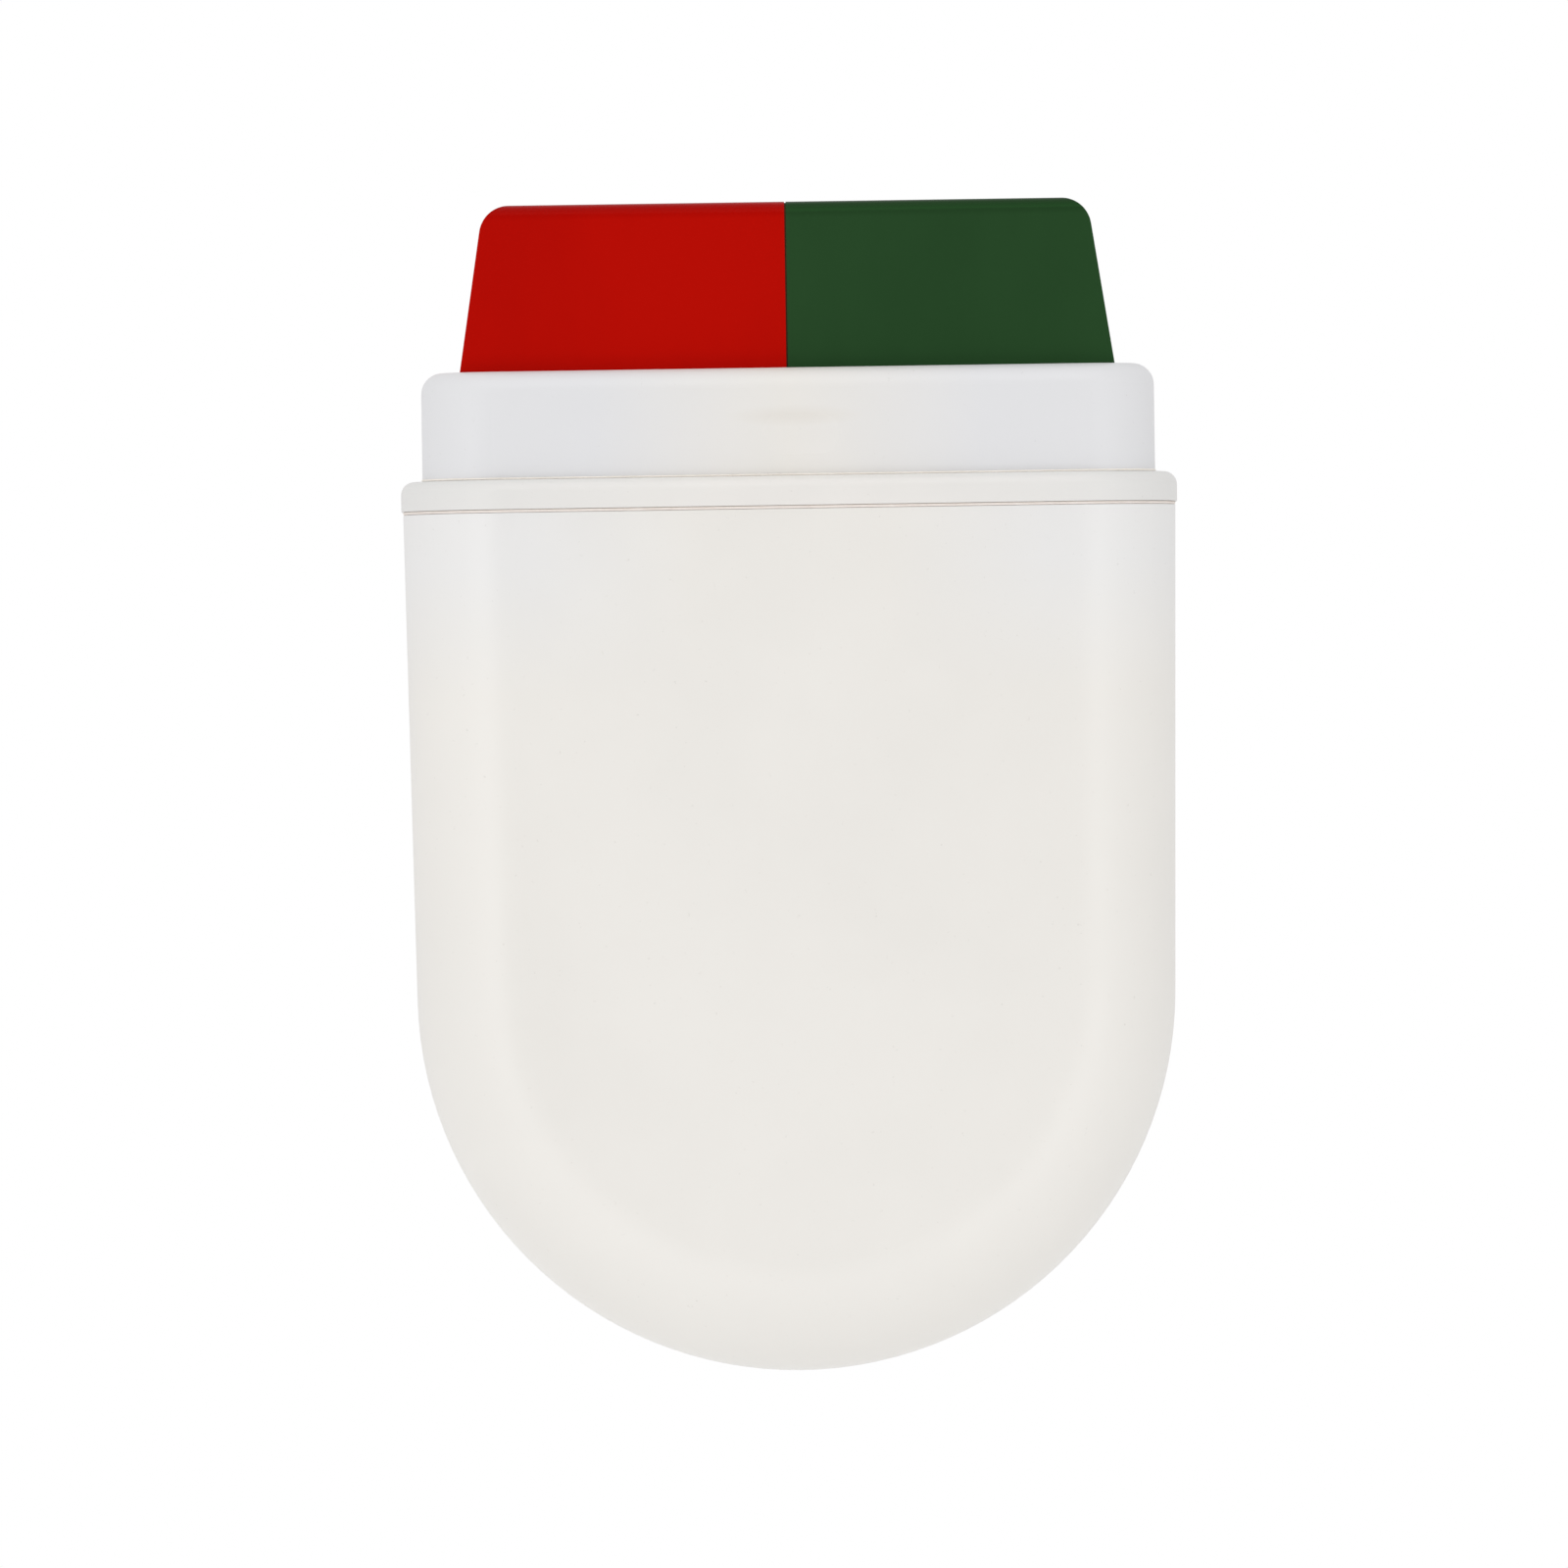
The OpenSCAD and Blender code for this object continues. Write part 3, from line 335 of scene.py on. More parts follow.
MATERIALS = {
    "housing": moulded("housing_asa", colour(237, 234, 229), colour(235, 232, 227), 0.33, speck=0.2,
                       edge=UPPER_CORNER_SHADE, shine=0.7),
    "collar": moulded("collar_asa", colour(235, 232, 228), colour(232, 229, 225), speck=0.15,
                      edge=COLLAR_END_SHADE),
    "neck": moulded("neck_asa", colour(236, 232, 226), colour(233, 230, 225), speck=0.2,
                    edge=NECK_SIDE_SHADE, recess_shadow=FINGER_RECESS_SHADOW),
    "divider": moulded("divider_adhesive", colour(74, 46, 26), colour(62, 40, 24), 0.6, speck=0.1,
                       shine=0.1),
    # The third lens colour is painted shade for the lens's top few millimetres.
    "red_lens": lens("red_polycarbonate", colour(181, 14, 6), colour(176, 13, 6), colour(158, 6, 3),
                     (1.0, 0.12, 0.1, 1.0)),
    "green_lens": lens("green_polycarbonate", colour(40, 71, 40), colour(38, 68, 38), colour(28, 54, 28),
                       (0.2, 0.8, 0.2, 1.0)),
    "tan_seal": rubber("tan_silicone", colour(246, 238, 232), colour(238, 228, 220), 0.7),
    "pale_seal": rubber("pale_silicone", colour(252, 247, 240), colour(248, 242, 233), 0.7),
    "rubber": rubber("black_epdm", colour(46, 46, 48), colour(62, 62, 62)),
    "nylon": nylon("black_nylon", colour(50, 51, 53), colour(88, 90, 92)),
    "component": nylon("component_epoxy", colour(34, 34, 36), colour(58, 58, 60)),
    "terminal": moulded("terminal_polyamide", colour(128, 136, 144), colour(118, 126, 135)),
    "cast": powder_coat("cast_powder_coat", colour(212, 212, 210), colour(192, 191, 186)),
    "zinc": metal("zinc_plate", colour(200, 204, 208), colour(172, 178, 168), 0.3, 0.004),
    "stainless": metal("brushed_stainless", *STEEL, 0.3, 0.01, (1, 1, 0.06)),
    "chrome": metal("plated_zamak", colour(214, 215, 217), colour(196, 197, 200), 0.16),
    "galvanised": galvanised("galvanised_sheet"),
    "extrusion": metal("anodised_extrusion", colour(190, 192, 195), colour(178, 180, 184), 0.36, 0.02,
                       (0.04, 1, 1)),
    "brass": metal("stud_brass", colour(206, 172, 100), colour(184, 148, 80), 0.28, 0.003),
    "board": circuit("green_board", colour(22, 74, 46), colour(50, 112, 66)),
    "led_board": circuit("white_board", colour(224, 224, 220), colour(206, 208, 204), 0.005),
    "red_led": emitter("red_epoxy", colour(206, 84, 70), colour(150, 30, 26)),
    "green_led": emitter("green_epoxy", colour(156, 206, 164), colour(72, 146, 92)),
    "tin": metal("tinned_contacts", colour(206, 208, 208), colour(182, 184, 186), 0.24, 0.001),
    "blue_wire": moulded("blue_pvc", colour(48, 84, 150), colour(40, 74, 136), 0.5),
    "earth_wire": striped("earth_pvc", colour(66, 128, 60), colour(214, 190, 48)),
    "black_wire": moulded("black_pvc", colour(42, 42, 44), colour(54, 54, 56), 0.5),
    "brown_wire": moulded("brown_pvc", colour(104, 66, 44), colour(92, 58, 38), 0.5),
    "red_wire": moulded("red_pvc", colour(166, 38, 32), colour(150, 32, 28), 0.5),
}

# The CAD nodes that get each finish
FINISHES = {
    "housing": ["front_cover", "back_plate"],
    "collar": ["rim_collar"],
    "neck": ["neck_shell"],
    "red_lens": ["red_lens"],
    "green_lens": ["green_lens"],
    "tan_seal": ["collar_seal"],
    "pale_seal": ["head_gasket"],
    "rubber": ["base_seal", "lens_seal", "lead_grommet"],
    "nylon": ["friction_washers", "cable_gland", "gland_nut", "vent_plug", "sounder",
              "head_lock_knob"],
    "divider": ["light_divider"],
    "component": ["board_parts"],
    "terminal": ["terminal_block"],
    "cast": ["wall_bracket", "swivel_lug"],
    "zinc": ["swivel_bolt", "swivel_nut", "lug_screws", "collar_screws", "hinge_screws", "standoffs",
             "chassis_screws", "board_spacers", "cam_bolt", "lens_clamp_screws"],
    "stainless": ["base_hinge_leaves", "cover_hinge_leaves", "cover_hinge_pins", "head_hinge_pins",
                  "lock_keeper", "head_keeper", "head_lock_spindle"],
    "chrome": ["lock_barrel", "lock_cam"],
    "galvanised": ["chassis_plate", "din_rail", "lens_clamp_frame"],
    "extrusion": ["led_driver", "heat_sinks"],
    "brass": ["earth_stud"],
    "board": ["control_board"],
    "led_board": ["red_led_board", "green_led_board"],
    "red_led": ["red_leds"],
    "green_led": ["green_leds"],
    "brown_wire": ["mains_wires"],
    "red_wire": ["led_leads"],
}


def dress(node, finish):
    """Gives every material slot of a CAD node the named finish."""
    if not node.data.materials:
        node.data.materials.append(MATERIALS[finish])
    for slot in node.material_slots:
        slot.material = MATERIALS[finish]


for finish, members in FINISHES.items():
    for member in members:
        dress(nodes[member], finish)


# ---- mesh helpers ----

SHARP_ANGLE = math.radians(32)


def frame_of(origin, direction):
    """A matrix that puts local +Z along a direction, with its origin at a point."""
    return Matrix.Translation(origin) @ Vector(direction).to_track_quat("Z", "Y").to_matrix().to_4x4()


def skin(bm, rings, hollow=False):
    """Joins equal rings of points into a tube. It caps the ends, or joins them if it is hollow."""
    loops = [[bm.verts.new(point) for point in ring] for ring in rings]
    count = len(loops[0])
    pairs = list(zip(loops, loops[1:]))
    if hollow:
        pairs.append((loops[-1], loops[0]))
    for near, far in pairs:
        for k in range(count):
            bm.faces.new((near[k], near[(k + 1) % count], far[(k + 1) % count], far[k]))
    if not hollow:
        bm.faces.new(list(reversed(loops[0])))
        bm.faces.new(loops[-1])


def turned(bm, place_at, profile, steps=40, ripple=None, hollow=False):
    """A turned shape from (radius, height) points. ripple may vary the radius round a turn."""
    rings = []
    for radius, height in profile:
        ring = []
        for k in range(steps):
            turn = k / steps
            r = ripple(turn, radius, height) if ripple else radius
            a = turn * math.tau
            ring.append(place_at @ Vector((r * math.cos(a), r * math.sin(a), height)))
        rings.append(ring)
    skin(bm, rings, hollow)


def hexagonal(flat_r):
    """A ripple that keeps a radius inside a hexagon whose flats are flat_r from its middle."""

    def ripple(turn, radius, height):
        off = (turn * 6 + 0.5) % 1 - 0.5
        return min(radius, flat_r / math.cos(off * math.tau / 6))

    return ripple


def hex_prism(bm, place_at, corner_r, low, high, chamfer_low=True, chamfer_high=True):
    """A hexagonal head or nut with its corners turned down at the ends."""
    flat_r = corner_r * math.cos(math.tau / 12)
    end_r, drop = flat_r * 0.98, corner_r * 0.12
    near = [(end_r, low), (corner_r, low + drop)] if chamfer_low else [(corner_r, low)]
    far = [(corner_r, high - drop), (end_r, high)] if chamfer_high else [(corner_r, high)]
    turned(bm, place_at, near + far, 48, hexagonal(flat_r))


def threaded(bm, place_at, radius, low, high, pitch):
    """A helical thread between two heights, with six rows of points to a turn of the thread."""
    depth = pitch * 0.5
    rows = max(2, int((high - low) / pitch * 6))
    heights = [low + (high - low) * j / rows for j in range(rows + 1)]

    def ripple(turn, r, height):
        phase = (height / pitch - turn) % 1
        return r - depth * abs(2 * phase - 1)

    turned(bm, place_at, [(radius, h) for h in heights], 28, ripple)


def bar(bm, low, high, bevel=0.0):
    """A box between two corners with its edges rounded by bevel."""
    made = bmesh.ops.create_cube(bm, size=1.0)["verts"]
    low, high = Vector(low), Vector(high)
    fit = Matrix.Translation((low + high) / 2) @ Matrix.Diagonal((*(high - low), 1))
    bmesh.ops.transform(bm, verts=made, matrix=fit)
    if bevel:
        edges = list({edge for vert in made for edge in vert.link_edges})
        bmesh.ops.bevel(bm, geom=edges, offset=bevel, segments=2, affect="EDGES", profile=0.5)


def piece(name, bm, finish, body, stands_for=()):
    """Turns a bmesh into a named piece that rides on a body."""
    bmesh.ops.recalc_face_normals(bm, faces=bm.faces)
    mesh = bpy.data.meshes.new(name)
    bm.to_mesh(mesh)
    bm.free()
    for face in mesh.polygons:
        face.use_smooth = True
    mesh.set_sharp_from_angle(angle=SHARP_ANGLE)
    made = bpy.data.objects.new(name, mesh)
    bpy.context.scene.collection.objects.link(made)
    mesh.materials.append(MATERIALS[finish])
    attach(made, body)
    if stands_for:
        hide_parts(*stands_for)


def solids(node):
    """The (low, high) box of each separate solid in a CAD node, from low to high and left to right."""
    bm = bmesh.new()
    bm.from_mesh(nodes[node].data)
    bmesh.ops.remove_doubles(bm, verts=bm.verts, dist=1e-6)
    boxes, seen = [], set()
    for first in bm.verts:
        if first in seen:
            continue
        seen.add(first)
        todo, points = [first], []
        while todo:
            vert = todo.pop()
            points.append(vert.co.copy())
            for edge in vert.link_edges:
                other = edge.other_vert(vert)
                if other not in seen:
                    seen.add(other)
                    todo.append(other)
        boxes.append((Vector([min(p[i] for p in points) for i in range(3)]),
                      Vector([max(p[i] for p in points) for i in range(3)])))
    bm.free()
    return sorted(boxes, key=lambda b: (round(b[0].z, 4), round(b[0].x, 4)))


def carved(blank, cutter):
    """The mesh that is left when one bmesh is cut out of another."""
    made = []
    for name, bm in (("blank", blank), ("cutter", cutter)):
        bmesh.ops.recalc_face_normals(bm, faces=bm.faces)
        mesh = bpy.data.meshes.new(name)
        bm.to_mesh(mesh)
        bm.free()
        made.append(bpy.data.objects.new(name, mesh))
        bpy.context.scene.collection.objects.link(made[-1])
    cut = made[0].modifiers.new("cut", "BOOLEAN")
    cut.object = made[1]
    cut.solver = "EXACT"
    cut.use_self = True
    depsgraph = bpy.context.evaluated_depsgraph_get()
    result = bpy.data.meshes.new_from_object(made[0].evaluated_get(depsgraph))
    for item in made:
        bpy.data.objects.remove(item)
    return result


def screw(head_r, head_h, shank_r, length, drive):
    """A screw along +Z with the top of its head at the origin, cut for a cross or a hexagon key."""
    blank = bmesh.new()
    here = Matrix.Identity(4)
    if drive == "cross":
        profile = [(shank_r, -length), (shank_r, -head_h), (head_r, -head_h), (head_r, -head_h * 0.55),
                   (head_r * 0.92, -head_h * 0.3), (head_r * 0.7, -head_h * 0.1), (head_r * 0.35, 0)]
    else:
        profile = [(shank_r, -length), (shank_r, -head_h), (head_r * 0.97, -head_h),
                   (head_r, -head_h * 0.94), (head_r, -head_h * 0.08), (head_r * 0.95, 0)]
    turned(blank, here, profile, 32)
    cutter = bmesh.new()
    if drive == "cross":
        arm, half, depth = head_r * 0.58, head_r * 0.13, head_h * 0.7
        bar(cutter, (-arm, -half, -depth), (arm, half, head_h))
        bar(cutter, (-half, -arm, -depth), (half, arm, head_h))
    else:
        hex_prism(cutter, here, head_r * 0.56, -head_h * 0.65, head_h, False, False)
    return carved(blank, cutter)


def stamp(bm, mesh, matrix):
    """Adds a copy of a mesh at a place."""
    before = len(bm.verts)
    bm.from_mesh(mesh)
    bm.verts.ensure_lookup_table()
    bmesh.ops.transform(bm, verts=bm.verts[before:], matrix=matrix)


def as_mesh(name, data):
    """The mesh object that a curve's data makes."""
    curve = bpy.data.objects.new(name, data)
    bpy.context.scene.collection.objects.link(curve)
    mesh = bpy.data.meshes.new_from_object(curve.evaluated_get(bpy.context.evaluated_depsgraph_get()))
    bpy.data.objects.remove(curve)
    mesh.materials.clear()
    made = bpy.data.objects.new(name, mesh)
    bpy.context.scene.collection.objects.link(made)
    return made


# ---- seals ----

def bead(node, radius, grow, drop, finish, body):
    """A round cord seal along the outline of a flat CAD seal, grow metres outside it and drop below."""
    name = node + "_bead"
    low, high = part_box(node)
    middle = (low + high) / 2
    points = [vert.co.xy for vert in nodes[node].data.vertices]
    wider = Vector((1 + grow / (high.x - middle.x), 1 + grow / (high.y - middle.y)))
    data = bpy.data.curves.new(name, "CURVE")
    data.dimensions = "3D"
    data.bevel_depth = radius
    data.bevel_resolution = 3
    data.use_fill_caps = False
    outline = [points[index] for index in geometry.convex_hull_2d(points)]
    spline = data.splines.new("POLY")
    spline.points.add(len(outline) - 1)
    for target, point in zip(spline.points, outline):
        target.co = (*((point - middle.xy) * wider + middle.xy), middle.z - drop, 1)
    spline.use_cyclic_u = True
    cord = as_mesh(name, data)
    cord.data.materials.append(MATERIALS[finish])
    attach(cord, body)


def soften(node, width):
    """Rounds the sharp edges of a CAD node by a small width, after joining its flat faces."""
    stack = nodes[node].modifiers
    stack.new("weld", "WELD").merge_threshold = 0.002 * MM
    merge = stack.new("merge_flats", "DECIMATE")
    merge.decimate_type = "DISSOLVE"
    merge.angle_limit = math.radians(1.5)
    edge = stack.new("edge", "BEVEL")
    edge.width = width
    edge.segments = 2
    edge.limit_method = "ANGLE"
    edge.angle_limit = SHARP_ANGLE
    edge.use_clamp_overlap = True
    edge.harden_normals = False
    stack.new("shade", "WEIGHTED_NORMAL").keep_sharp = True


def divider_fill():
    """Swells the thin divider between the lens halves, so that it fills its gap."""
    stack = nodes["light_divider"].modifiers
    stack.new("weld", "WELD").merge_threshold = 0.001 * MM
    swell = stack.new("swell", "DISPLACE")
    swell.mid_level = 0.0
    swell.strength = 0.16 * MM


# ---- fasteners ----

def cross_screws(node, body, direction, head_r, head_h, shank_r):
    """Stands a cross-recess screw in place of each one in a CAD node. The heads face a direction."""
    boxes = solids(node)
    way = Vector(direction)
    axis = max(range(3), key=lambda i: abs(way[i]))
    length = (boxes[0][1] - boxes[0][0])[axis]
    template = screw(head_r, head_h, shank_r, length, "cross")
    bm = bmesh.new()
    for index, (low, high) in enumerate(boxes):
        top = (low + high) / 2
        top[axis] = high[axis] if way[axis] > 0 else low[axis]
        twist = Matrix.Rotation(0.7 + index * 1.9, 4, "Z")
        stamp(bm, template, frame_of(top, way) @ twist)
    bpy.data.meshes.remove(template)
    piece(node + "_detail", bm, "zinc", body, [node])


def lug_fixings():
    """Hexagon-key screws through the lug and the back plate, each with its nut inside.

    The solids of the CAD node that don't reach the heads' face are the nuts.
    """
    head_r, head_h, shank_r = 5 * MM, 6 * MM, 3 * MM
    nut_r, nut_t, pitch, plate_t = 5.8 * MM, 5 * MM, 1 * MM, 4 * MM
    far_end, heads = (corner.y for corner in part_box("lug_screws"))
    with_heads = [box for box in solids("lug_screws") if heads - box[1].y < MM]
    template = screw(head_r, head_h, shank_r, heads - far_end, "key")
    bm = bmesh.new()
    inner_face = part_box("back_plate")[1].y - plate_t
    for low, high in with_heads:
        middle = (low + high) / 2
        stamp(bm, template, frame_of((middle.x, high.y, middle.z), (0, 1, 0)))
        inside = frame_of((middle.x, inner_face, middle.z), (0, -1, 0))
        hex_prism(bm, inside, nut_r, 0, nut_t)
        threaded(bm, inside, shank_r, nut_t, inner_face - far_end, pitch)
    bpy.data.meshes.remove(template)
    piece("lug_screws_detail", bm, "zinc", "housing", ["lug_screws"])


def swivel_fixings():
    """The swivel's flanged bolt with its threaded end, and its locking nut."""
    low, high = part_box("swivel_bolt")
    middle = (low + high) / 2
    nut_low, nut_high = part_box("swivel_nut")
    here = Matrix.Translation((middle.x, middle.y, 0))
    flange_r, flange_t, corner_r, shank_r = 13 * MM, 2 * MM, 10.9 * MM, 6 * MM
    head_h, lead_in, collar_h = 9.5 * MM, 0.8 * MM, 2.5 * MM
    seat = high.z - head_h

    def flange(bm, face, way):
        """A dished flange that rises from its bearing face, up (1) or down (-1)."""
        turned(bm, here, [(flange_r * 0.98, face), (flange_r, face + way * 0.3 * MM),
                          (flange_r, face + way * flange_t * 0.6),
                          (corner_r, face + way * flange_t * 1.3)], 56)

    bm = bmesh.new()
    flange(bm, seat, 1)
    hex_prism(bm, here, corner_r, seat + flange_t, high.z, False, True)
    turned(bm, here, [(shank_r, nut_high.z), (shank_r, seat)], 40)
    turned(bm, here, [(shank_r * 0.8, low.z), (shank_r * 0.92, low.z + lead_in)], 28)
    threaded(bm, here, shank_r, low.z + lead_in, nut_low.z + 4 * MM, 1.75 * MM)
    piece("swivel_bolt_detail", bm, "zinc", "bracket", ["swivel_bolt"])
    bm = bmesh.new()
    flange(bm, nut_high.z, -1)
    hex_prism(bm, here, corner_r, nut_low.z + collar_h, nut_high.z - flange_t, True, False)
    turned(bm, here, [(8 * MM, nut_low.z + collar_h + 0.1 * MM), (7.8 * MM, nut_low.z + 0.5 * MM),
                      (7 * MM, nut_low.z), (shank_r, nut_low.z)], 40)
    piece("swivel_nut_detail", bm, "zinc", "bracket", ["swivel_nut"])


def gland():
    """Cable gland: hexagon body, ribbed dome nut, thread through the plate, and a rubber insert."""
    low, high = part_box("cable_gland")
    middle = (low + high) / 2
    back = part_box("back_plate")[1].y
    here = frame_of((middle.x, back, middle.z), (0, 1, 0))
    reach, inner = high.y - back, low.y - back
    thread_r, dome_r, mouth_r, bore_r, corner_r = 10 * MM, 11 * MM, 7.2 * MM, 5 * MM, 13.8 * MM
    body_t, pitch, rib_count, rib_depth = 5 * MM, 1.5 * MM, 24, 0.35 * MM
    rib_low, rib_high, rib_end = 8 * MM, reach - 3.4 * MM, 0.3 * MM

    def ribs(turn, radius, height):
        deep = rib_depth if rib_low < height < rib_high and radius > thread_r else 0
        return radius - deep * (0.5 + 0.5 * math.cos(turn * math.tau * rib_count))

    bm = bmesh.new()
    hex_prism(bm, here, corner_r, 0, body_t)
    dome = [(thread_r, body_t), (dome_r - 0.4 * MM, body_t + 0.6 * MM), (dome_r, body_t + 1.2 * MM),
            (dome_r, rib_low), (dome_r, rib_low + rib_end), (dome_r, rib_high - rib_end),
            (dome_r, rib_high), (dome_r - 0.3 * MM, reach - 2.4 * MM),
            (dome_r - 1.1 * MM, reach - 1 * MM), (dome_r - 2.5 * MM, reach),
            (mouth_r + 0.2 * MM, reach), (mouth_r, reach - 2 * MM), (mouth_r, reach - 6 * MM),
            (mouth_r, body_t)]
    turned(bm, here, dome, rib_count * 6, ribs, hollow=True)
    threaded(bm, here, thread_r, inner, -0.2 * MM, pitch)
    piece("cable_gland_detail", bm, "nylon", "housing", ["cable_gland"])
    bm = bmesh.new()
    insert_r, lip, root = mouth_r - 0.05 * MM, reach - 0.5 * MM, reach - 5.5 * MM
    turned(bm, here, [(insert_r, root), (insert_r, lip - 0.4 * MM), (6.6 * MM, lip),
                      (bore_r + 0.3 * MM, lip - 0.2 * MM), (bore_r, lip - 0.9 * MM),
                      (bore_r, root)], 48, hollow=True)
    piece("gland_insert", bm, "rubber", "housing", ())
    bm = bmesh.new()
    nut_low, nut_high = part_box("gland_nut")
    inside = frame_of((middle.x, nut_high.y, middle.z), (0, -1, 0))
    hex_prism(bm, inside, corner_r, 0, nut_high.y - nut_low.y)
    piece("gland_nut_detail", bm, "nylon", "housing", ["gland_nut"])


def vent():
    """Drain and vent plug: a coin-slotted cap over a threaded stem."""
    low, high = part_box("vent_plug")
    middle = (low + high) / 2
    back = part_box("back_plate")[1].y
    here = frame_of((middle.x, back, middle.z), (0, 1, 0))
    top, root = high.y - back, low.y - back
    cap_r, crown_r, stem_r, core_r = 9 * MM, 6.5 * MM, 6 * MM, 5.6 * MM
    slot_half, slot_depth = Vector((8, 0, 0.8)) * MM, 1.5 * MM
    blank, cutter = bmesh.new(), bmesh.new()
    turned(blank, here, [(core_r, root), (core_r, 0), (cap_r, 0), (cap_r, 2.2 * MM), (8.2 * MM, 3.1 * MM),
                         (crown_r + 0.1 * MM, 3.3 * MM), (crown_r, top - 0.5 * MM), (stem_r, top)], 56)
    slot_floor = Vector((middle.x, high.y - slot_depth, middle.z))
    slot_mouth = Vector((middle.x, high.y + 5 * MM, middle.z))
    bar(cutter, slot_floor - slot_half, slot_mouth + slot_half)
    mesh = carved(blank, cutter)
    bm = bmesh.new()
    stamp(bm, mesh, Matrix.Identity(4))
    bpy.data.meshes.remove(mesh)
    threaded(bm, here, stem_r, root, -0.2 * MM, 1.2 * MM)
    piece("vent_plug_detail", bm, "nylon", "housing", ["vent_plug"])


# ---- electronics ----

def chip_package(bm, low, high, legs):
    """A moulded package between two corners, on a board that faces -Y, with gull-wing legs."""
    pitch, leg_half, leg_reach = 1.27 * MM, 0.2 * MM, 1 * MM
    bar(bm, low, high, 0.2 * MM)
    face = high[1]
    for side, edge in ((-1, low[2]), (1, high[2])):
        for k in range(legs):
            x = (low[0] + high[0]) / 2 + (k - (legs - 1) / 2) * pitch
            near, far = sorted((edge, edge + side * leg_reach))
            bar(bm, (x - leg_half, face - 0.7 * MM, near), (x + leg_half, face - 0.1 * MM, far))


def chip_part(bodies, solder, corner, size, cap, overlap):
    """A chip resistor or capacitor on a board that faces -Y, with a soldered cap at each end.

    corner is its low left corner on the board, and size its width, thickness and height. A cap is cap
    wide and overlaps the body. It is a little thinner than the body and a little taller.
    """
    x, face, z = corner
    width, thick, height = size
    rounding, margin = 0.1 * MM, 0.1 * MM
    bar(bodies, (x, face - thick, z), (x + width, face, z + height), rounding)
    for end in (x - cap + overlap, x + width - overlap):
        bar(solder, (end, face - thick + margin, z - margin),
            (end + cap, face, z + height + margin), rounding)


def board_details():
    """Small parts that fill the control board: chips, chip resistors and capacitors, solder joints."""
    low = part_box("control_board")[0]
    chips, passives, solder = bmesh.new(), bmesh.new(), bmesh.new()

    def on_board(right, up):
        """The point of the board's face that is this many millimetres from its low left corner."""
        return low + Vector((right, 0, up)) * MM

    capacitor = Vector((2, 0.6, 1.2)) * MM
    for column in range(4):
        for row in range(2):
            chip_part(passives, solder, on_board(74 + column * 9, 24 + row * 6), capacitor,
                      0.4 * MM, 0.05 * MM)
    resistor = Vector((1.6, 0.5, 0.9)) * MM
    for column in range(11):
        chip_part(passives, solder, on_board(10 + column * 11.4, 1.8), resistor, 0.3 * MM, 0)
    joint = [(1 * MM, 0), (0.7 * MM, 0.3 * MM), (0.35 * MM, 0.8 * MM), (0.3 * MM, 1.4 * MM)]
    for k in range(5):
        turned(solder, frame_of(on_board(50 + k * 4.2, 19), (0, -1, 0)), joint, 16)
    package = Vector((0, 1.6 * MM, 0))
    chip_package(chips, on_board(100, 18) - package, on_board(110, 22), 7)
    chip_package(chips, on_board(84, 18.5) - package, on_board(90, 22), 4)
    piece("board_chips", chips, "component", "housing", ())
    piece("board_chip_parts", passives, "terminal", "housing", ())
    piece("board_solder", solder, "tin", "housing", ())


def wire(name, route, radius, finish, stands_for=None):
    """A round wire in the housing, along a smooth curve that follows a route in millimetres."""
    data = bpy.data.curves.new(name, "CURVE")
    data.dimensions = "3D"
    data.resolution_u = 8
    data.bevel_depth = radius
    data.bevel_resolution = 4
    data.use_fill_caps = True
    spline = data.splines.new("NURBS")
    spline.points.add(len(route) - 1)
    for target, point in zip(spline.points, route):
        target.co = (*(Vector(point) * MM), 1)
    spline.use_endpoint_u = True
    spline.order_u = 4
    made = as_mesh(name, data)
    made.data.materials.append(MATERIALS[finish])
    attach(made, "housing")
    if stands_for:
        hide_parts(stands_for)


def mains_wires():
    """Three supply wires, side by side, from the terminals out to the left and up to the driver."""
    kinds = (("brown_wire", "wire_brown", "mains_wires"), ("blue_wire", None, None),
             ("earth_wire", None, None))
    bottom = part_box("mains_wires")[0].z / MM
    run, driver_end = bottom + 6, -69.8
    for i, (finish, slot, stands_for) in enumerate(kinds):
        start, left, depth, rise = -46.6 + i * 7, -82 + i * 3, -116 - i * 4, 8 + i * 6
        route = [(start, depth, bottom - 1), (start, depth, bottom + 2), (start, depth, run),
                 (start - 5, depth, run), (left + 5, depth, run), (left, depth, run),
                 (left, depth, run + 5), (left, depth, rise - 4), (left, depth, rise),
                 (left + 4, depth, rise), (driver_end, depth, rise)]
        wire("mains_wire_%d" % (i + 1), route, 1.3 * MM, finish, stands_for)


def lamp_leads():
    """The black and the red lamp lead, from the control board through the grommet to the LED boards."""
    kinds = ((-1, "lamp_lead_black", "black_wire", None, None),
             (1, "lamp_lead_red", "red_wire", "wire_red", "led_leads"))
    for side, name, finish, slot, stands_for in kinds:
        start, grommet = 52 + side * 3, side * 3
        route = [(start, -118, 70), (start, -124, 70), (start, -127, 71), (start, -127, 78),
                 (start - 1, -126, 90), (36 + grommet, -118, 98), (18 + grommet, -112, 101),
                 (grommet, -110, 102), (grommet, -110, 108), (grommet, -110, 120),
                 (grommet, -110, 130), (side * 5, -110, 134), (side * 10, -112, 134.5),
                 (side * 14, -117, 134), (side * 14, -126.8, 134)]
        wire(name, route, 1.6 * MM, finish, stands_for)


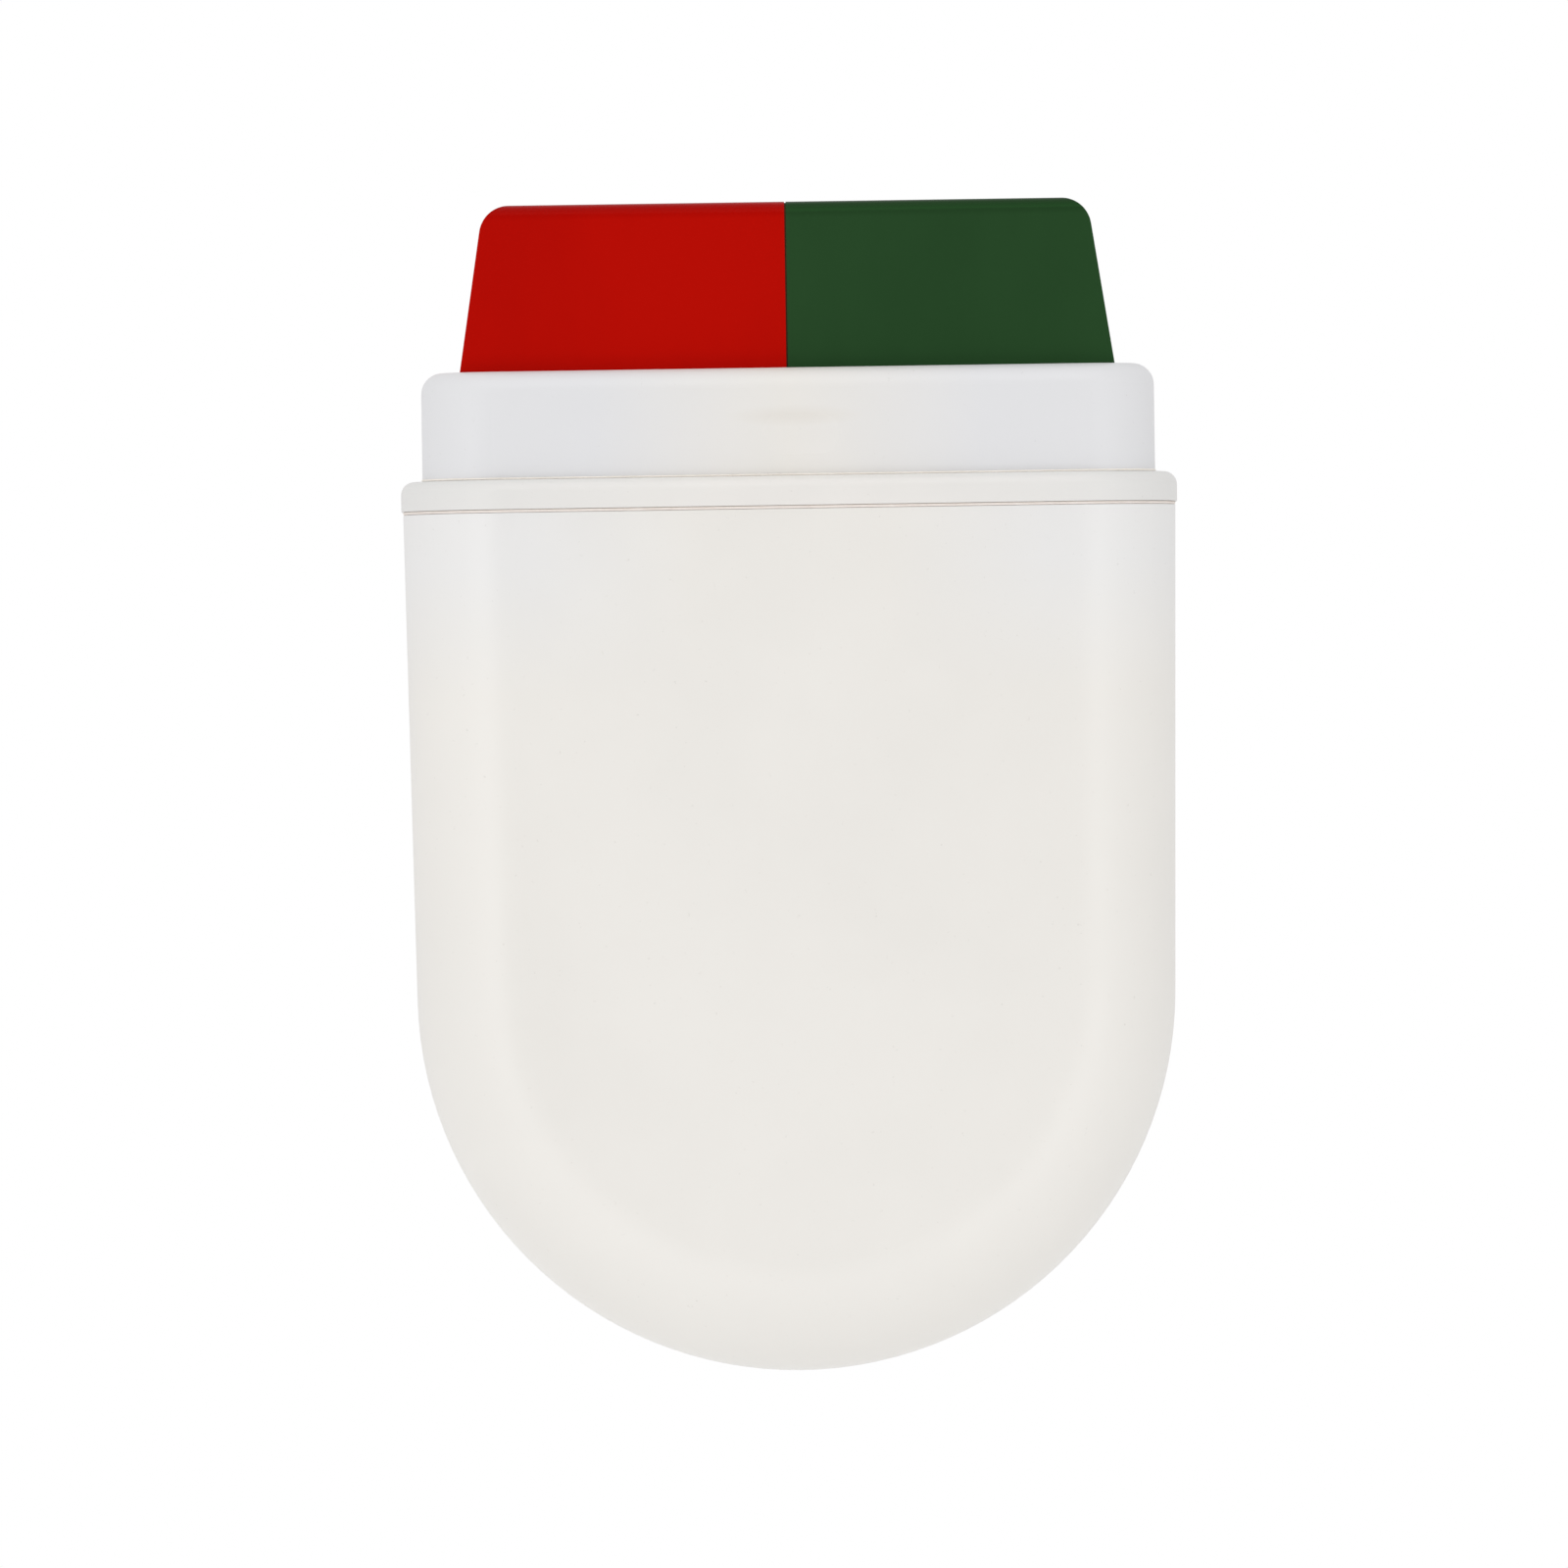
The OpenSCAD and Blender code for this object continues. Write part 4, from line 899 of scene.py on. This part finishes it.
def terminal_screws():
    """Two slotted clamp screws deep in each terminal, one in its upper and one in its lower entry."""
    screw_r, screw_h, slot_half, slot_depth = 1.75 * MM, 4 * MM, 0.3 * MM, 0.9 * MM
    inset, sunk, row = 3.4 * MM, 13.4 * MM, 17 * MM
    blank, cutter = bmesh.new(), bmesh.new()
    turned(blank, Matrix.Identity(4), [(screw_r, -screw_h), (screw_r, -0.3 * MM), (1.5 * MM, 0)], 28)
    bar(cutter, (-3 * MM, -slot_half, -slot_depth), (3 * MM, slot_half, MM))
    template = carved(blank, cutter)
    low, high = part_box("terminal_block")
    middle = (low.z + high.z) / 2
    bm = bmesh.new()
    for number, (near, _) in enumerate(solids("terminal_block")):
        for side in (-1, 1):
            spot = frame_of((near.x + inset, low.y + sunk, middle + side * row), (0, -1, 0))
            stamp(bm, template, spot @ Matrix.Rotation(number * 0.7 + side, 4, "Z"))
    bpy.data.meshes.remove(template)
    piece("terminal_screws", bm, "tin", "housing", ())


# ---- assembly ----

# The CAD nodes whose edges are rounded, by width
SOFT_EDGES = {
    0.9 * MM: ("wall_bracket", "swivel_lug"),
    0.35 * MM: ("back_plate", "rim_collar"),
    0.3 * MM: ("led_driver", "terminal_block", "heat_sinks", "head_keeper", "lock_keeper",
               "head_lock_knob"),
}

# Each row: node, body, the way its heads face, head radius, head height and shank radius
CROSS_SCREWS = (
    ("collar_screws", "housing", (0, 1, 0), 4 * MM, 2.6 * MM, 2 * MM),
    ("hinge_screws", "housing", (0, 1, 0), 3.2 * MM, 2 * MM, 1.8 * MM),
    ("chassis_screws", "housing", (0, -1, 0), 4.4 * MM, 2.8 * MM, 2.5 * MM),
    ("lens_clamp_screws", "lamp_head", (0, 0, -1), 2.5 * MM, 2.2 * MM, 1.45 * MM),
)

bead("collar_seal", 0.5 * MM, 0.35 * MM, 0.15 * MM, "tan_seal", "housing")
bead("head_gasket", 0.34 * MM, 0.72 * MM, 0.05 * MM, "pale_seal", "lamp_head")
divider_fill()
for width, members in SOFT_EDGES.items():
    for member in members:
        soften(member, width)
for row in CROSS_SCREWS:
    cross_screws(*row)
lug_fixings()
swivel_fixings()
gland()
vent()
board_details()
terminal_screws()
mains_wires()
lamp_leads()


# ---- studio ----

FLOOR_DROP = 0.4
FLOOR_RADIUS = 1.6

# The light round about: (degrees from an axis CONE_TILT degrees above the camera, level).
LIGHT_BY_ANGLE = [(0, 0.02), (20, 0.02), (24, 1.5), (33, 1.5), (48, 0.84), (90, 0.8), (180, 0.72)]
CONE_TILT = 7
LIGHT_STRENGTH = 1.06
LEFT_EXTRA = 0.05

# From the first of these heights of a direction down to the second, one low level takes over.
LOW_FROM, LOW_TO = -0.1, -0.3
LOW_LEVEL = 0.88


def sky():
    """Soft light from all round, dark only about the camera, and seen by the camera as plain white.

    The dark cone keeps the lens faces deep in colour, and the bright ring about it draws the soft
    bands along the housing's rounded sides. Below, the ring fades out, so no band runs round the bottom.
    """
    world = bpy.data.worlds.new("pale_studio")
    world.use_nodes = True
    bpy.context.scene.world = world
    tree = world.node_tree
    direction = add(tree, "TexCoord").outputs["Generated"]
    tilt = math.radians(CONE_TILT)
    axis = (0, -math.cos(tilt), math.sin(tilt))
    facing = add(tree, "VectorMath", {0: direction, 1: axis}, operation="DOT_PRODUCT").outputs["Value"]
    angle = maths(tree, "DIVIDE", maths(tree, "ARCCOSINE", facing), math.pi)
    ramp = add(tree, "ValToRGB", {"Fac": angle})
    stops = ramp.color_ramp.elements
    while len(stops) < len(LIGHT_BY_ANGLE):
        stops.new(0.5)
    for stop, (degrees, level) in zip(stops, LIGHT_BY_ANGLE):
        stop.position = degrees / 180
        stop.color = (level, level, level, 1)
    parts = add(tree, "SeparateXYZ", {"Vector": direction})
    side = span(tree, parts.outputs["X"], -1, 1, LIGHT_STRENGTH * (1 + LEFT_EXTRA),
                LIGHT_STRENGTH * (1 - LEFT_EXTRA))
    below = span(tree, parts.outputs["Z"], LOW_FROM, LOW_TO)
    even = (LOW_LEVEL, LOW_LEVEL, LOW_LEVEL, 1)
    light = tree.nodes["Background"]
    connect(tree, mix(tree, below, ramp.outputs["Color"], even), light.inputs["Color"])
    connect(tree, side, light.inputs["Strength"])
    white = add(tree, "Background", {"Color": (1, 1, 1, 1), "Strength": 1.0})
    seen = add(tree, "LightPath").outputs["Is Camera Ray"]
    shown = add(tree, "MixShader", {0: seen, 1: light.outputs[0], 2: white.outputs[0]})
    tree.links.new(shown.outputs[0], tree.nodes["World Output"].inputs["Surface"])


def floor():
    """A pale floor below the mounted object. It fades out outwards and can't be seen from below."""
    bpy.ops.mesh.primitive_circle_add(vertices=96, radius=FLOOR_RADIUS, fill_type="NGON",
                                      location=(0, 0, cad_low.z - FLOOR_DROP))
    disc = bpy.context.object
    disc.name = "floor"
    material, tree, shader = surface("pale_floor", Roughness=0.9, Specular_IOR_Level=0.1)
    connect(tree, mix(tree, noise(tree, 0.4), colour(246, 246, 246), colour(250, 250, 249)),
            shader.inputs["Base Color"])
    point = add(tree, "TexCoord").outputs["Object"]
    reach = add(tree, "VectorMath", {0: point}, operation="LENGTH").outputs["Value"]
    fade = span(tree, reach, FLOOR_RADIUS * 0.25, FLOOR_RADIUS * 0.7)
    under = add(tree, "NewGeometry").outputs["Backfacing"]
    unseen = maths(tree, "MAXIMUM", fade, under)
    clear = add(tree, "BsdfTransparent").outputs[0]
    mixed = add(tree, "MixShader", {0: unseen, 1: shader.outputs[0], 2: clear})
    tree.links.new(mixed.outputs[0], tree.nodes["Material Output"].inputs["Surface"])
    disc.data.materials.append(material)


def softbox(name, elevation, width, height, power, distance, mirrored=True):
    """An area light that faces the object from in front, at an elevation in degrees."""
    data = bpy.data.lights.new(name, "AREA")
    data.shape = "RECTANGLE"
    data.size, data.size_y = width, height
    data.energy = power
    lamp = bpy.data.objects.new(name, data)
    bpy.context.scene.collection.objects.link(lamp)
    lift = math.radians(elevation)
    away = Vector((0, -math.cos(lift), math.sin(lift)))
    lamp.location = (cad_low + cad_high) / 2 + away * distance
    lamp.rotation_euler = (-away).to_track_quat("-Z", "Y").to_euler()
    lamp.visible_camera = False
    lamp.visible_glossy = mirrored


def camera():
    """A long lens, straight in front, with the slight lean that the picture has."""
    picture_width, distance = 0.4875, 6.0
    lean = math.radians(0.85)
    middle = (cad_low + cad_high) / 2
    aim = Vector((middle.x - 2.9 * MM, cad_low.y + 50 * MM, middle.z + 0.7 * MM))
    data = bpy.data.cameras.new("camera")
    data.sensor_width = 36
    data.lens = data.sensor_width * distance / picture_width
    data.clip_end = 50
    body = bpy.data.objects.new("camera", data)
    bpy.context.scene.collection.objects.link(body)
    body.location = aim - Vector((0, distance, 0))
    level = Matrix.Rotation(math.pi / 2, 4, "X")
    body.rotation_euler = (Matrix.Rotation(lean, 4, "Y") @ level).to_euler()
    bpy.context.scene.camera = body


sky()
floor()
softbox("overhead", elevation=68, width=1.4, height=1.0, power=1.4, distance=1.6)
softbox("low_fill", elevation=-20, width=1.2, height=0.4, power=1.4, distance=1.2, mirrored=False)
camera()
bpy.context.scene.view_settings.view_transform = "Standard"
